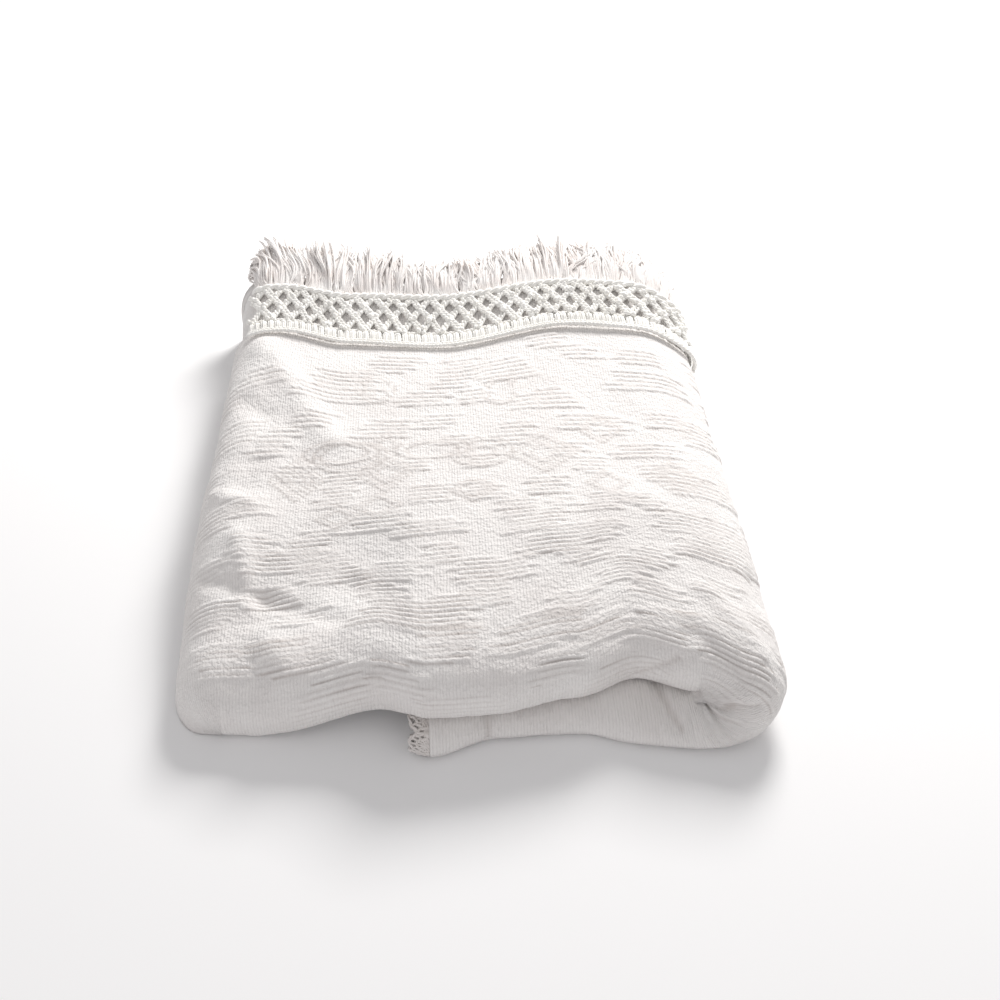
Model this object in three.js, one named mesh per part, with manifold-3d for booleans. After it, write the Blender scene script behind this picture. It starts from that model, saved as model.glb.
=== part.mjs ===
// A folded matelasse bedspread with a knotted openwork trim and a cut fringe along its foot edge.
// Millimetres, +Z up. X runs across the folded pack and Y from its front fold to its fringe.
// The cloth is one sheet, folded back and forth along its length and then turned under at the right.
import * as THREE from 'three';
import Module from 'manifold-3d';

const { lerp, degToRad, smoothstep } = THREE.MathUtils;

// Driving dimensions of the pack
const packWidth = 380;
const clothThickness = 2.6;
const runCount = 6;           // lengths of cloth in the back-and-forth fold
// The big front fold: height of all its runs, how far it stands forward above and below its foremost line,
// where that line is from the innermost run to the outermost, and the front folds of the runs inside it
const upperFold = { depth: 32, outer: 42, inner: 7, foremost: 0.36, insideY: 26 };
const underFold = { depth: 18, outer: 7, inner: 38, foremost: 0.7, insideY: 43 };
const creaseGap = 2.4;        // air between the upper and the under part
const shoulderGap = 1;        // inside radius where the upper part bends down at the left
const seamY = 360;            // edge of the trim on the top run
const clothUnderTrim = 8;     // how far the top run goes on under the trim
const rearFoldY = 446;        // rear folds of the lower runs
const freeEndY = 438;         // loose end of the last run
const foldFlatness = 0.85;    // below 1 the big front folds are flatter in front
const turnStretch = 2.1;      // the right-hand turn is this much longer across than it is high
const sideEdgeFront = -31;    // trimmed side edge of the under part, at the front
const sideEdgeRear = -148;    // the same edge at the rear
const sideEdgeTurn = { from: 90, to: 240 };
const underColumnStart = -26; // columns left of this follow the slanted side edge

// Driving dimensions of the trim
const headingWidth = 18;
const headingHeight = 4;
const beadPitch = 7.9;
const cellPitch = 15.8;
const latticeWidth = 43;
const latticeRows = [2.3, 16.3, 28.5, 40.7];
const latticeThickness = 2.4;
const knotRise = 2;
const strandHalfWidth = 2.3;
const trimRise = 9;           // the trim climbs this much towards its fringe
const fringeSlope = 0.2;      // and the fringe goes on at this slope
const trimLeftAngle = 30;     // how far the trim goes down the left shoulder, degrees
const trimRightAngle = 100;   // and down the right-hand turn
const pieceGap = 0.3;
const headingLift = 0.8;      // under side of the heading above the cloth
const stripGap = 0.8;         // between the openwork and the fringe's strip
const fringeStripWidth = 3.5;
const fringeStripHeight = 3;
const lockCount = 104;
const lockRadius = 1.15;
const sideTrimWidth = 14;
const sideTrimPitch = 12;
const sideTrimReach = 22;     // how far the side trim runs back under the pack, above and below
const sideTrimHalfStrand = 1.3;
const sideTrimThickness = 1.8;
const sideTrimRise = 0.8;
const sideTrimGap = 0.6;      // between the cloth's side edge and its trim
const fringeLift = 0.4;       // middle of the fringe's strip above the cloth's level
const lockRootInset = 2;
const lockLength = { least: 0.84, spread: 0.3 };
const lockLeanSpread = 1.2;
const lockCurl = 2.5;
const strandEdge = 0.6;       // a strand is this much thinner at its edges
const strandSag = 0.3;        // and stands this share of a knot's rise half way along

// Places worked out from them
const halfWidth = packWidth / 2;
const seatHeight = underFold.depth + creaseGap;
const shoulderX = -halfWidth + shoulderGap + upperFold.depth;
const turnReach = (creaseGap + upperFold.depth + underFold.depth) / 2;
const turnX = halfWidth - turnStretch * turnReach;
const topLevel = runCount - 1;
const halfCloth = clothThickness / 2;

// Front outline in plan, how far each part stands back from the line Y = 0
const frontLine = [
  { x: -190, upper: 3, under: 0 },
  { x: -120, upper: -2, under: 0 },
  { x: -66, upper: 4, under: -8 },
  { x: -30, upper: -9, under: -22 },
  { x: 8, upper: -8, under: -11 },
  { x: 60, upper: 2, under: -9 },
  { x: 98, upper: 15, under: -19 },
  { x: 135, upper: 2, under: -28 },
  { x: 165, upper: -10, under: -30 },
  { x: 190, upper: -12, under: -24 },
];

// The trim's edge wanders in plan
const seamLine = [
  { x: -190, shift: 13 },
  { x: -150, shift: 12 },
  { x: -90, shift: -6 },
  { x: -15, shift: -11 },
  { x: 85, shift: 3 },
  { x: 150, shift: -2 },
  { x: 190, shift: -14 },
];

// Depths over which these two outlines die away into the pack
const frontReach = { from: 30, to: 170 };
const seamReach = { from: 190, to: 350 };

// Soft swells and hollows of the upper part
const swells = [
  { x: -20, y: 100, reachX: 240, reachY: 90, rise: 7 },
  { x: -130, y: 300, reachX: 34, reachY: 70, rise: 4 },
  { x: -62, y: 98, reachX: 34, reachY: 40, rise: -5 },
  { x: -122, y: 42, reachX: 30, reachY: 34, rise: 4 },
  { x: -146, y: 135, reachX: 22, reachY: 40, rise: 4 },
  { x: -110, y: 190, reachX: 40, reachY: 30, rise: -3 },
  { x: 60, y: 170, reachX: 80, reachY: 80, rise: 4 },
  { x: 95, y: 370, reachX: 60, reachY: 60, rise: 5 },
  { x: -20, y: 370, reachX: 50, reachY: 50, rise: -3 },
];

// The left side stands out a little in plan
const leftSwell = { fromX: -110, y: 100, reachY: 110, out: 4 };

// The upper part sinks to the floor at the front left, where nothing lies under it
const sink = { fromX: -40, toX: -135, fullY: 60, noneY: 200, lowest: 1 };

// Columns and stations shared by every run, so that the layers stay parallel
const shoulderAngles = [90, 64, 32];
const upperColumns = [shoulderX, -135, -100, -70, -40, -5, 30, 65, 100];
const turnAngles = [0, 22, 44, 67, 90, 115, 145, 180];
const underColumns = [100, 65, 30, -5, underColumnStart];
const sideEdgeShares = [0.5, 1];
const runStations = [60, 130, 200, 280];
const lastStation = seamY - 10;
const bigFoldSteps = 8;
const smallFoldSteps = 4;
const stripSteps = 56;
const lockSides = 3;

function readTable(rows, x, key) {
  const next = rows.findIndex((row) => row.x > x);
  if (next === 0) {
    return rows[0][key];
  }
  if (next < 0) {
    return rows[rows.length - 1][key];
  }
  const from = rows[next - 1];
  const to = rows[next];
  return lerp(from[key], to[key], smoothstep(x, from.x, to.x));
}

function scatter(seed) {
  const value = Math.sin(seed * 12.9898) * 43758.5453;
  return value - Math.floor(value);
}

function swellAt(x, y) {
  let rise = 0;
  for (const swell of swells) {
    const across = (x - swell.x) / swell.reachX;
    const along = (y - swell.y) / swell.reachY;
    rise += swell.rise * Math.exp(-across * across - along * along);
  }
  return rise;
}

function baseAt(x, y) {
  const across = THREE.MathUtils.clamp((sink.fromX - x) / (sink.fromX - sink.toX), 0, 1);
  const along = THREE.MathUtils.clamp((sink.noneY - y) / (sink.noneY - sink.fullY), 0, 1);
  return lerp(seatHeight, sink.lowest, across * along);
}

// Moves a point of the neatly folded pack to where the soft, uneven pack has it
function settle(x, y, z, underShare) {
  const base = baseAt(x, y);
  const above = z - seatHeight;
  const swollen = 1 + swellAt(x, y) / upperFold.depth;
  const height = above > 0 ? base + above * swollen : z * base / seatHeight;
  const upperShift = readTable(frontLine, x, 'upper');
  const underShift = readTable(frontLine, x, 'under');
  const frontShare = 1 - smoothstep(y, frontReach.from, frontReach.to);
  const frontShift = lerp(upperShift, underShift, underShare) * frontShare;
  const seamShift = readTable(seamLine, x, 'shift') * smoothstep(y, seamReach.from, seamReach.to);
  const fromSwell = (y - leftSwell.y) / leftSwell.reachY;
  const leftShare = smoothstep(-x, -leftSwell.fromX, halfWidth) * Math.exp(-fromSwell * fromSwell);
  return new THREE.Vector3(x - leftSwell.out * leftShare, y + frontShift + seamShift, height);
}

function turnShare(column) {
  if (column.zone === 'under') {
    return 1;
  }
  return column.zone === 'turn' ? smoothstep(column.angle, 0, 180) : 0;
}

function columnFold(column) {
  const share = turnShare(column);
  const keys = Object.keys(upperFold);
  return Object.fromEntries(keys.map((key) => [key, lerp(upperFold[key], underFold[key], share)]));
}

function sideEdgeAt(y) {
  return lerp(sideEdgeFront, sideEdgeRear, smoothstep(y, sideEdgeTurn.from, sideEdgeTurn.to));
}

// Place of a point at a column, Y, height inside the bundle of runs and distance out from there
function columnPoint(column, y, level, out) {
  const underShare = turnShare(column);
  if (column.zone === 'wall') {
    return settle(shoulderX - shoulderGap - level - out, y, (seatHeight - shoulderGap) * column.share, 0);
  }
  if (column.zone === 'shoulder') {
    const angle = degToRad(column.angle);
    const reach = shoulderGap + level + out;
    const z = seatHeight - shoulderGap + reach * Math.cos(angle);
    return settle(shoulderX - reach * Math.sin(angle), y, z, 0);
  }
  if (column.zone === 'upper') {
    return settle(column.x, y, seatHeight + level + out, 0);
  }
  if (column.zone === 'turn') {
    const angle = degToRad(column.angle);
    const reach = creaseGap / 2 + level;
    const z = seatHeight - creaseGap / 2 + (reach + out) * Math.cos(angle);
    return settle(turnX + (turnStretch * reach + out) * Math.sin(angle), y, z, underShare);
  }
  const slant = column.edgeShare ?? 0;
  const x = lerp(column.x ?? underColumnStart, sideEdgeAt(y), slant) - (column.past ?? 0);
  return settle(x, y, seatHeight - creaseGap - level - out, underShare);
}

function clothColumns() {
  return [
    { zone: 'wall', share: 0 },
    ...shoulderAngles.map((angle) => ({ zone: 'shoulder', angle })),
    ...upperColumns.map((x) => ({ zone: 'upper', x })),
    ...turnAngles.map((angle) => ({ zone: 'turn', angle })),
    ...underColumns.map((x) => ({ zone: 'under', x })),
    ...sideEdgeShares.map((edgeShare) => ({ zone: 'under', edgeShare })),
  ];
}

// The back-and-forth fold: each station is on a run at one level or part way round a fold
function clothStations() {
  const stations = [];
  const addRun = (level, places) => places.forEach((y) => stations.push({ level, y }));
  const addFold = (from, to, steps, kind) => {
    for (let step = 0; step <= steps; step += 1) {
      stations.push({ from, to, kind, angle: Math.PI * step / steps });
    }
  };
  const backwards = [...runStations].reverse();
  addRun(topLevel, [seamY + clothUnderTrim, lastStation, ...backwards]);
  addFold(topLevel, 0, bigFoldSteps, 'big');
  for (let level = 0; level < topLevel - 1; level += 1) {
    const goesBack = level % 2 === 0;
    addRun(level, goesBack ? [...runStations, lastStation] : [lastStation, ...backwards]);
    addFold(level, level + 1, smallFoldSteps, goesBack ? 'rear' : 'front');
  }
  addRun(topLevel - 1, [...runStations, lastStation, freeEndY]);
  return stations;
}

// Y, height and the outward normal of the sheet's middle at a station
function pathPoint(station, fold) {
  const pitch = (fold.depth - clothThickness) / topLevel;
  const heightOf = (level) => halfCloth + level * pitch;
  if (station.kind === undefined) {
    const facesUp = station.level === topLevel || station.level % 2 === 1;
    return { y: station.y, level: heightOf(station.level), normalY: 0, normalUp: facesUp ? 1 : -1 };
  }
  const middle = (heightOf(station.from) + heightOf(station.to)) / 2;
  const radius = Math.abs(heightOf(station.to) - heightOf(station.from)) / 2;
  const turned = { along: Math.sin(station.angle), up: Math.cos(station.angle) };
  if (station.kind === 'big') {
    const forward = turned.along ** foldFlatness;
    const foremost = lerp(heightOf(station.to), heightOf(station.from), fold.foremost);
    const above = turned.up > 0;
    const reach = above ? heightOf(station.from) - foremost : foremost - heightOf(station.to);
    const bulge = above ? fold.outer : fold.inner;
    const normal = new THREE.Vector2(-forward / bulge, turned.up / reach).normalize();
    const y = bulge * (1 - forward);
    return { y, level: foremost + reach * turned.up, normalY: normal.x, normalUp: normal.y };
  }
  if (station.kind === 'rear') {
    const y = rearFoldY - radius * (1 - turned.along);
    return { y, level: middle - radius * turned.up, normalY: turned.along, normalUp: -turned.up };
  }
  const y = fold.insideY - radius * turned.along;
  return { y, level: middle - radius * turned.up, normalY: turned.along, normalUp: turned.up };
}

function clothPoint(column, station, offset) {
  const path = pathPoint(station, columnFold(column));
  return columnPoint(column, path.y + offset * path.normalY, path.level, offset * path.normalUp);
}

function geometryFrom(points, triangles) {
  const geometry = new THREE.BufferGeometry();
  const coordinates = points.flatMap((point) => point.toArray());
  geometry.setAttribute('position', new THREE.Float32BufferAttribute(coordinates, 3));
  geometry.setIndex(triangles.flat());
  geometry.computeVertexNormals();
  return geometry;
}

// A closed solid from a grid of rings: every ring has the same number of points
function solidFromRings(rings, splitOther = () => false) {
  const size = rings[0].length;
  const triangles = [];
  for (let ring = 0; ring + 1 < rings.length; ring += 1) {
    for (let spot = 0; spot < size; spot += 1) {
      const next = (spot + 1) % size;
      const [a, b] = [ring * size + spot, ring * size + next];
      const [c, d] = [a + size, b + size];
      triangles.push(...(splitOther(ring, spot) ? [[a, c, d], [a, d, b]] : [[a, c, b], [b, c, d]]));
    }
  }
  const lastRing = (rings.length - 1) * size;
  for (let spot = 0; spot + 1 < size / 2; spot += 1) {
    const [a, b, c, d] = [spot, spot + 1, size - 1 - spot, size - 2 - spot];
    triangles.push([a, b, c], [b, d, c]);
    triangles.push([a, c, b].map((v) => v + lastRing), [b, c, d].map((v) => v + lastRing));
  }
  return geometryFrom(rings.flat(), triangles);
}

function clothGeometry() {
  const columns = clothColumns();
  const stations = clothStations();
  const rings = stations.map((station) => [
    ...columns.map((column) => clothPoint(column, station, halfCloth)),
    ...[...columns].reverse().map((column) => clothPoint(column, station, -halfCloth)),
  ]);
  const forwards = stations.map((station, i) => stations[i + 1]?.y < station.y);
  return solidFromRings(rings, (ring, spot) => forwards[ring] === (spot < columns.length));
}

// Distances along the trim run from the left shoulder over the top and down the right-hand turn
const leftArc = degToRad(trimLeftAngle) * (shoulderGap + upperFold.depth);
const topLength = turnX - shoulderX;
const rightArc = degToRad(trimRightAngle) * turnReach * (1 + turnStretch) / 2;
const trimLength = leftArc + topLength + rightArc;
const latticeStart = headingWidth + pieceGap;
const stripStart = latticeStart + latticeWidth + stripGap;

function trimColumn(distance) {
  if (distance < leftArc) {
    return { zone: 'shoulder', angle: trimLeftAngle * (1 - distance / leftArc) };
  }
  const pastShoulder = distance - leftArc;
  if (pastShoulder < topLength) {
    return { zone: 'upper', x: shoulderX + pastShoulder };
  }
  return { zone: 'turn', angle: trimRightAngle * (pastShoulder - topLength) / rightArc };
}

// The trim climbs straight up towards its fringe, and not at all where it hangs down a side
function trimPoint(distance, past, height) {
  const column = trimColumn(distance);
  const level = Math.max(0, Math.cos(degToRad(column.angle ?? 0)));
  const point = columnPoint(column, seamY + past, columnFold(column).depth, height);
  const beyond = Math.max(0, past - stripStart);
  point.z += level * (trimRise * ((past - beyond) / stripStart) ** 2 + fringeSlope * beyond);
  return point;
}

// Section of the heading: shares of its width, and of its height on a bead and between two beads
const headingSection = [
  { past: 0.08, bead: 0.75, between: 0.75 },
  { past: 0.2, bead: 0.45, between: 0.45 },
  { past: 0.58, bead: 1, between: 0.6 },
  { past: 1, bead: 0.5, between: 0.5 },
];

// The heading: a corded edge and a row of wrapped beads, sewn over the end of the cloth
function headingGeometry() {
  const beads = Math.round(trimLength / beadPitch);
  const rings = [];
  for (let half = 0; half <= 2 * beads; half += 1) {
    const distance = trimLength * half / (2 * beads);
    const key = half % 2 === 1 ? 'bead' : 'between';
    const crest = headingSection.map((row) => {
      return trimPoint(distance, row.past * headingWidth, row[key] * headingHeight);
    });
    const foot = [headingWidth, 0].map((past) => trimPoint(distance, past, headingLift));
    rings.push([...crest, ...foot]);
  }
  return solidFromRings(rings);
}

// Corners of a polygon moved sideways by a distance, to the left of its edges when positive
function moveEdges(corners, distance) {
  return corners.map((corner, i) => {
    const before = corners[(i + corners.length - 1) % corners.length];
    const after = corners[(i + 1) % corners.length];
    const inward = corner.clone().sub(before).normalize();
    const outward = after.clone().sub(corner).normalize();
    const bisector = new THREE.Vector2(-inward.y - outward.y, inward.x + outward.x).normalize();
    const slope = bisector.x * -inward.y + bisector.y * inward.x;
    return corner.clone().addScaledVector(bisector, distance / slope);
  });
}

function withMidpoints(corners) {
  return corners.flatMap((corner, i) => {
    const after = corners[(i + 1) % corners.length];
    return [corner, corner.clone().lerp(after, 0.5)];
  });
}

// A net of crossing strands, knotted in rows: triangles along the first and the last row, diamonds between.
// Odd rows have their knots half a pitch further on.
// place(distance, past, height) puts a flat point in the pack.
function openworkGeometry({ cells, pitch, rows, halfStrand, thickness, rise, place }) {
  const points = [];
  const triangles = [];
  const known = new Map();
  const last = rows.length - 1;
  const spotAt = (row, step) => new THREE.Vector2(step * pitch, rows[row]);
  const knot = (row, i) => spotAt(row, row % 2 ? i + 0.5 : i);
  const pointAt = (spot, height) => {
    const key = [spot.x, spot.y, height].map((value) => value.toFixed(3)).join();
    if (!known.has(key)) {
      known.set(key, points.push(place(spot.x, spot.y, height)) - 1);
    }
    return known.get(key);
  };
  const top = thickness / 2;
  const addFrame = (corners, inset) => {
    const ridge = withMidpoints(corners);
    const rim = withMidpoints(moveEdges(corners, inset));
    ridge.forEach((spot, i) => {
      const next = (i + 1) % ridge.length;
      const crownOf = (place) => top + rise * (place % 2 ? strandSag : 1);
      const [a, b] = [pointAt(spot, crownOf(i)), pointAt(ridge[next], crownOf(next))];
      const [c, d] = [pointAt(rim[i], top * strandEdge), pointAt(rim[next], top * strandEdge)];
      const [e, f] = [pointAt(rim[i], -top), pointAt(rim[next], -top)];
      const [g, h] = [pointAt(spot, -top), pointAt(ridge[next], -top)];
      const faces = [[a, b, d], [a, d, c], [c, d, f], [c, f, e], [g, f, h], [g, e, f]];
      triangles.push(...(inset > 0 ? faces : faces.map(([p, q, r]) => [p, r, q])));
    });
  };
  for (let i = 0; i < cells; i += 1) {
    addFrame([knot(0, i), knot(0, i + 1), knot(1, i)], halfStrand);
  }
  for (let row = 1; row < last; row += 1) {
    for (let i = row % 2; i < cells; i += 1) {
      const [left, right] = row % 2 ? [i - 1, i] : [i, i + 1];
      addFrame([knot(row - 1, i), knot(row, right), knot(row + 1, i), knot(row, left)], halfStrand);
    }
    if (row % 2) {
      addFrame([knot(row - 1, 0), knot(row, 0), knot(row + 1, 0)], halfStrand);
      addFrame([knot(row - 1, cells), knot(row + 1, cells), knot(row, cells - 1)], halfStrand);
    }
  }
  const halfSteps = Array.from({ length: cells }, (_, i) => i + 0.5);
  const wholeSteps = Array.from({ length: cells + 1 }, (_, i) => i);
  const lastSteps = last % 2 ? [0, ...halfSteps, cells] : wholeSteps;
  for (let i = 0; i < lastSteps.length - 1; i += 1) {
    addFrame([spotAt(last, lastSteps[i]), knot(last - 1, i), spotAt(last, lastSteps[i + 1])], halfStrand);
  }
  const firstBar = Array.from({ length: cells + 1 }, (_, i) => knot(0, i));
  const lastBar = lastSteps.map((step) => spotAt(last, step)).reverse();
  const sideRows = rows.map((_, row) => row).filter((row) => row > 0 && row < last && row % 2 === 0);
  const rightSide = sideRows.map((row) => knot(row, cells));
  const leftSide = sideRows.map((row) => knot(row, 0)).reverse();
  addFrame([...firstBar, ...rightSide, ...lastBar, ...leftSide], -halfStrand);
  return geometryFrom(points, triangles);
}

function latticeGeometry() {
  const cells = Math.round((trimLength - 2 * strandHalfWidth) / cellPitch);
  return openworkGeometry({
    cells,
    pitch: (trimLength - 2 * strandHalfWidth) / cells,
    rows: latticeRows,
    halfStrand: strandHalfWidth,
    thickness: latticeThickness,
    rise: knotRise,
    place: (distance, past, height) => trimPoint(distance + strandHalfWidth, latticeStart + past, height),
  });
}

// The same openwork, narrower, on the side edge of the under part where it rounds the front fold
function sideTrimGeometry() {
  const column = { zone: 'under', edgeShare: 1 };
  const foldBulge = (underFold.outer + underFold.inner) / 2;
  const foldLength = Math.PI * Math.hypot(foldBulge, underFold.depth / 2) / Math.SQRT2;
  const length = foldLength + 2 * sideTrimReach;
  const cells = Math.round(length / sideTrimPitch);
  const inset = halfCloth - sideTrimThickness / 2 - sideTrimRise;
  const stationAt = (distance) => {
    if (distance < sideTrimReach) {
      return { level: topLevel, y: underFold.outer + sideTrimReach - distance };
    }
    const turned = (distance - sideTrimReach) / foldLength;
    if (turned < 1) {
      return { kind: 'big', from: topLevel, to: 0, angle: Math.PI * turned };
    }
    return { level: 0, y: underFold.inner + distance - sideTrimReach - foldLength };
  };
  const place = (distance, past, height) => {
    const path = pathPoint(stationAt(distance), underFold);
    const offset = height + inset;
    const spot = { ...column, past: past + sideTrimGap };
    return columnPoint(spot, path.y + offset * path.normalY, path.level, offset * path.normalUp);
  };
  return openworkGeometry({
    cells,
    pitch: length / cells,
    rows: [sideTrimHalfStrand, sideTrimWidth / 2, sideTrimWidth - sideTrimHalfStrand],
    halfStrand: sideTrimHalfStrand,
    thickness: sideTrimThickness,
    rise: sideTrimRise,
    place,
  });
}

// How the cut fringe varies along the trim: share of the length, lock length and sideways lean
const fringeOutline = [
  { x: 0, length: 37, lean: -13 },
  { x: 0.06, length: 49, lean: -8 },
  { x: 0.16, length: 51, lean: -4 },
  { x: 0.3, length: 44, lean: 2 },
  { x: 0.42, length: 33, lean: -2 },
  { x: 0.52, length: 37, lean: 3 },
  { x: 0.62, length: 45, lean: -3 },
  { x: 0.74, length: 47, lean: 2 },
  { x: 0.88, length: 40, lean: 5 },
  { x: 1, length: 30, lean: 8 },
];
const lockSections = [
  { along: -0.03, radius: 1 },
  { along: 0.34, radius: 1 },
  { along: 0.7, radius: 0.9 },
  { along: 1, radius: 0.6 },
];
const lockSplay = { upper: 0.1, lower: -0.16 };
const scatterFrom = { lean: 500, curl: 900 };

function lockMesh(index) {
  const share = (index + 0.5) / lockCount;
  const root = lerp(lockRootInset, trimLength - lockRootInset, share);
  const lengthShare = lockLength.least + lockLength.spread * scatter(index);
  const length = readTable(fringeOutline, share, 'length') * lengthShare;
  const leanChange = lockLeanSpread * (scatter(index + scatterFrom.lean) - 0.5);
  const lean = readTable(fringeOutline, share, 'lean') + leanChange;
  const splay = index % 2 ? lockSplay.upper : lockSplay.lower;
  const curl = lockCurl * (scatter(index + scatterFrom.curl) - 0.5);
  const centreAt = (along) => ({
    distance: root + lean * along * Math.abs(along),
    past: stripStart + fringeStripWidth + length * along,
    height: fringeLift + length * splay * along + curl * along * along,
  });
  const points = [];
  const triangles = [];
  for (const { along, radius } of lockSections) {
    const { distance, past, height } = centreAt(along);
    for (let corner = 0; corner < lockSides; corner += 1) {
      const angle = degToRad(90 + 360 * corner / lockSides);
      const reach = lockRadius * radius;
      points.push(trimPoint(distance + reach * Math.cos(angle), past, height + reach * Math.sin(angle)));
    }
  }
  const lastSection = lockSides * (lockSections.length - 1);
  for (let corner = 0; corner < lockSides; corner += 1) {
    const next = (corner + 1) % lockSides;
    for (let start = 0; start < lastSection; start += lockSides) {
      const [a, b] = [start + corner, start + next];
      triangles.push([a, a + lockSides, b], [b, a + lockSides, b + lockSides]);
    }
  }
  triangles.push([0, 1, 2], [lastSection, lastSection + 2, lastSection + 1]);
  return { points, triangles };
}

// A narrow strip with the roots of all the locks fused into it
async function fringeGeometry() {
  const wasm = await Module();
  wasm.setup();
  const solidOf = (points, triangles) => new wasm.Manifold(new wasm.Mesh({
    numProp: 3,
    vertProperties: new Float32Array(points.flatMap((point) => point.toArray())),
    triVerts: new Uint32Array(triangles.flat()),
  }));
  const rings = [];
  for (let step = 0; step <= stripSteps; step += 1) {
    const distance = trimLength * step / stripSteps;
    const low = fringeLift - fringeStripHeight / 2;
    const high = low + fringeStripHeight;
    const corners = [[0, high], [fringeStripWidth, high], [fringeStripWidth, low], [0, low]];
    rings.push(corners.map(([past, height]) => trimPoint(distance, stripStart + past, height)));
  }
  const strip = solidFromRings(rings);
  const stripIndex = [];
  for (let i = 0; i < strip.index.count; i += 3) {
    stripIndex.push([0, 1, 2].map((corner) => strip.index.getX(i + corner)));
  }
  let fringe = solidOf(rings.flat(), stripIndex);
  for (let index = 0; index < lockCount; index += 1) {
    const { points, triangles } = lockMesh(index);
    fringe = fringe.add(solidOf(points, triangles));
  }
  const { vertProperties, triVerts } = fringe.getMesh();
  const geometry = new THREE.BufferGeometry();
  geometry.setAttribute('position', new THREE.Float32BufferAttribute(vertProperties, 3));
  geometry.setIndex([...triVerts]);
  geometry.computeVertexNormals();
  return geometry;
}

const whiteCotton = { color: 0xf1eee9, roughness: 0.92, metalness: 0 };
const trimCotton = { color: 0xf0ede2, roughness: 0.9, metalness: 0 };
const fringeCotton = { color: 0xede4dc, roughness: 0.95, metalness: 0 };

function addPiece(group, name, geometry, finish) {
  const piece = new THREE.Mesh(geometry, new THREE.MeshStandardMaterial(finish));
  piece.name = name;
  group.add(piece);
}

const bedspread = new THREE.Group();
addPiece(bedspread, 'folded_cloth', clothGeometry(), whiteCotton);
addPiece(bedspread, 'trim_heading', headingGeometry(), trimCotton);
addPiece(bedspread, 'trim_lattice', latticeGeometry(), trimCotton);
addPiece(bedspread, 'trim_fringe', await fringeGeometry(), fringeCotton);
addPiece(bedspread, 'side_trim', sideTrimGeometry(), trimCotton);

// The origin is under the middle of the whole, on the surface that it rests on
const box = new THREE.Box3().setFromObject(bedspread);
const centre = box.getCenter(new THREE.Vector3());
bedspread.position.set(-centre.x, -centre.y, -box.min.z);

export default bedspread;
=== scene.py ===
import math

import bpy
import numpy as np
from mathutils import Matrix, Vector


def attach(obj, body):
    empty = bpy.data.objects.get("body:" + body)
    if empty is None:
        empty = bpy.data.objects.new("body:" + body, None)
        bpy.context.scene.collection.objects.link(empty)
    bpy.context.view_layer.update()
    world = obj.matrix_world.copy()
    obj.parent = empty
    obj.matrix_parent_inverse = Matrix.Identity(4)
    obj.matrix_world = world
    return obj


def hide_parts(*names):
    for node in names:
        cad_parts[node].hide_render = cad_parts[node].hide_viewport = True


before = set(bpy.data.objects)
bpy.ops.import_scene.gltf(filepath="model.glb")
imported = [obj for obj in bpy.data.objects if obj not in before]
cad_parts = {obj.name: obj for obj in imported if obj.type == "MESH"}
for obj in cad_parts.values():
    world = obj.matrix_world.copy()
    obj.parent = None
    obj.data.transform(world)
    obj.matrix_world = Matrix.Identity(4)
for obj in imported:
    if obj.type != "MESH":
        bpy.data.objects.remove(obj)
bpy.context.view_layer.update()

# Shape of the pack, in millimetres: the solids' own fold, with a tighter crease at the front
pack = {
    "width": 380, "thick": 2.6, "runs": 6, "upperDepth": 32, "underDepth": 18,
    "turnStretch": 2.1,  # how far the turn at the right is drawn out sideways
    "creaseGap": 2.4, "shoulderGap": 1,
    "seamY": 360, "underTrim": 8, "rearFoldY": 446, "freeEndY": 438,
    "flatness": 0.85,  # below 1 the big fold is blunter than an ellipse
    "edgeFront": -31, "edgeRear": -148, "edgeFrom": 90, "edgeTo": 240, "underStart": -26,
    "frontFade": (30, 170), "seamFade": (190, 350),  # where the front outline ends and the seam's begins
    "shift": (-0.91974, -231.72963, 0.0),
}
halfWidth = pack["width"] / 2
seat = pack["underDepth"] + pack["creaseGap"]
shoulderX = -halfWidth + pack["shoulderGap"] + pack["upperDepth"]
turnReach = (pack["creaseGap"] + pack["upperDepth"] + pack["underDepth"]) / 2
turnX = halfWidth - pack["turnStretch"] * turnReach
topLevel = pack["runs"] - 1
halfCloth = pack["thick"] / 2
metres = 0.001  # of a millimetre
tiny = 1e-9  # keeps a division from failing

# The big front fold of the upper and of the under part: depth, reach forward above and below its foremost
# line, where that line is, and the front of the folds inside
upperFold = np.array([pack["upperDepth"], 42, 4, 0.36, 26])
underFold = np.array([pack["underDepth"], 7, 38, 0.7, 43])

# Front outline in plan: x, then how far the upper and the under part stand back
frontLine = np.array([
    (-190, 3, 0), (-120, -2, 0), (-66, 4, -8), (-30, -9, -22), (8, -8, -11),
    (60, 2, -9), (98, 15, -19), (135, 2, -28), (165, -10, -30), (190, -12, -24),
], float)
# Outline of the seam in plan: x, then how far it stands back
seamLine = np.array([(-190, 13), (-150, 12), (-90, -6), (-15, -11), (85, 3), (150, -2), (190, -14)], float)
# Soft swells of the upper part: x, y, reach across, reach along, rise
swells = [
    (-20, 100, 240, 90, 7), (-130, 300, 34, 70, 4), (-62, 98, 34, 40, -5), (-122, 42, 30, 34, 4),
    (-146, 135, 22, 40, 4), (-110, 190, 40, 30, -3), (60, 170, 80, 80, 4), (95, 370, 60, 60, 5),
    (-20, 370, 50, 50, -3),
]
sink = {"fromX": -40, "toX": -135, "fullY": 60, "noneY": 200, "lowest": 1}
leftSwell = {"fromX": -110, "y": 100, "reachY": 110, "out": 4}
wall, shoulder, upper, turn, under, edge = range(6)  # zones across the sheet
run, bigFold, rearFold, frontFold = range(4)  # kinds of station along it


def mix(a, b, share):
    return a + (b - a) * share


def smooth(value, low, high):
    share = np.clip((value - low) / (high - low), 0, 1)
    return share * share * (3 - 2 * share)


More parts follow.
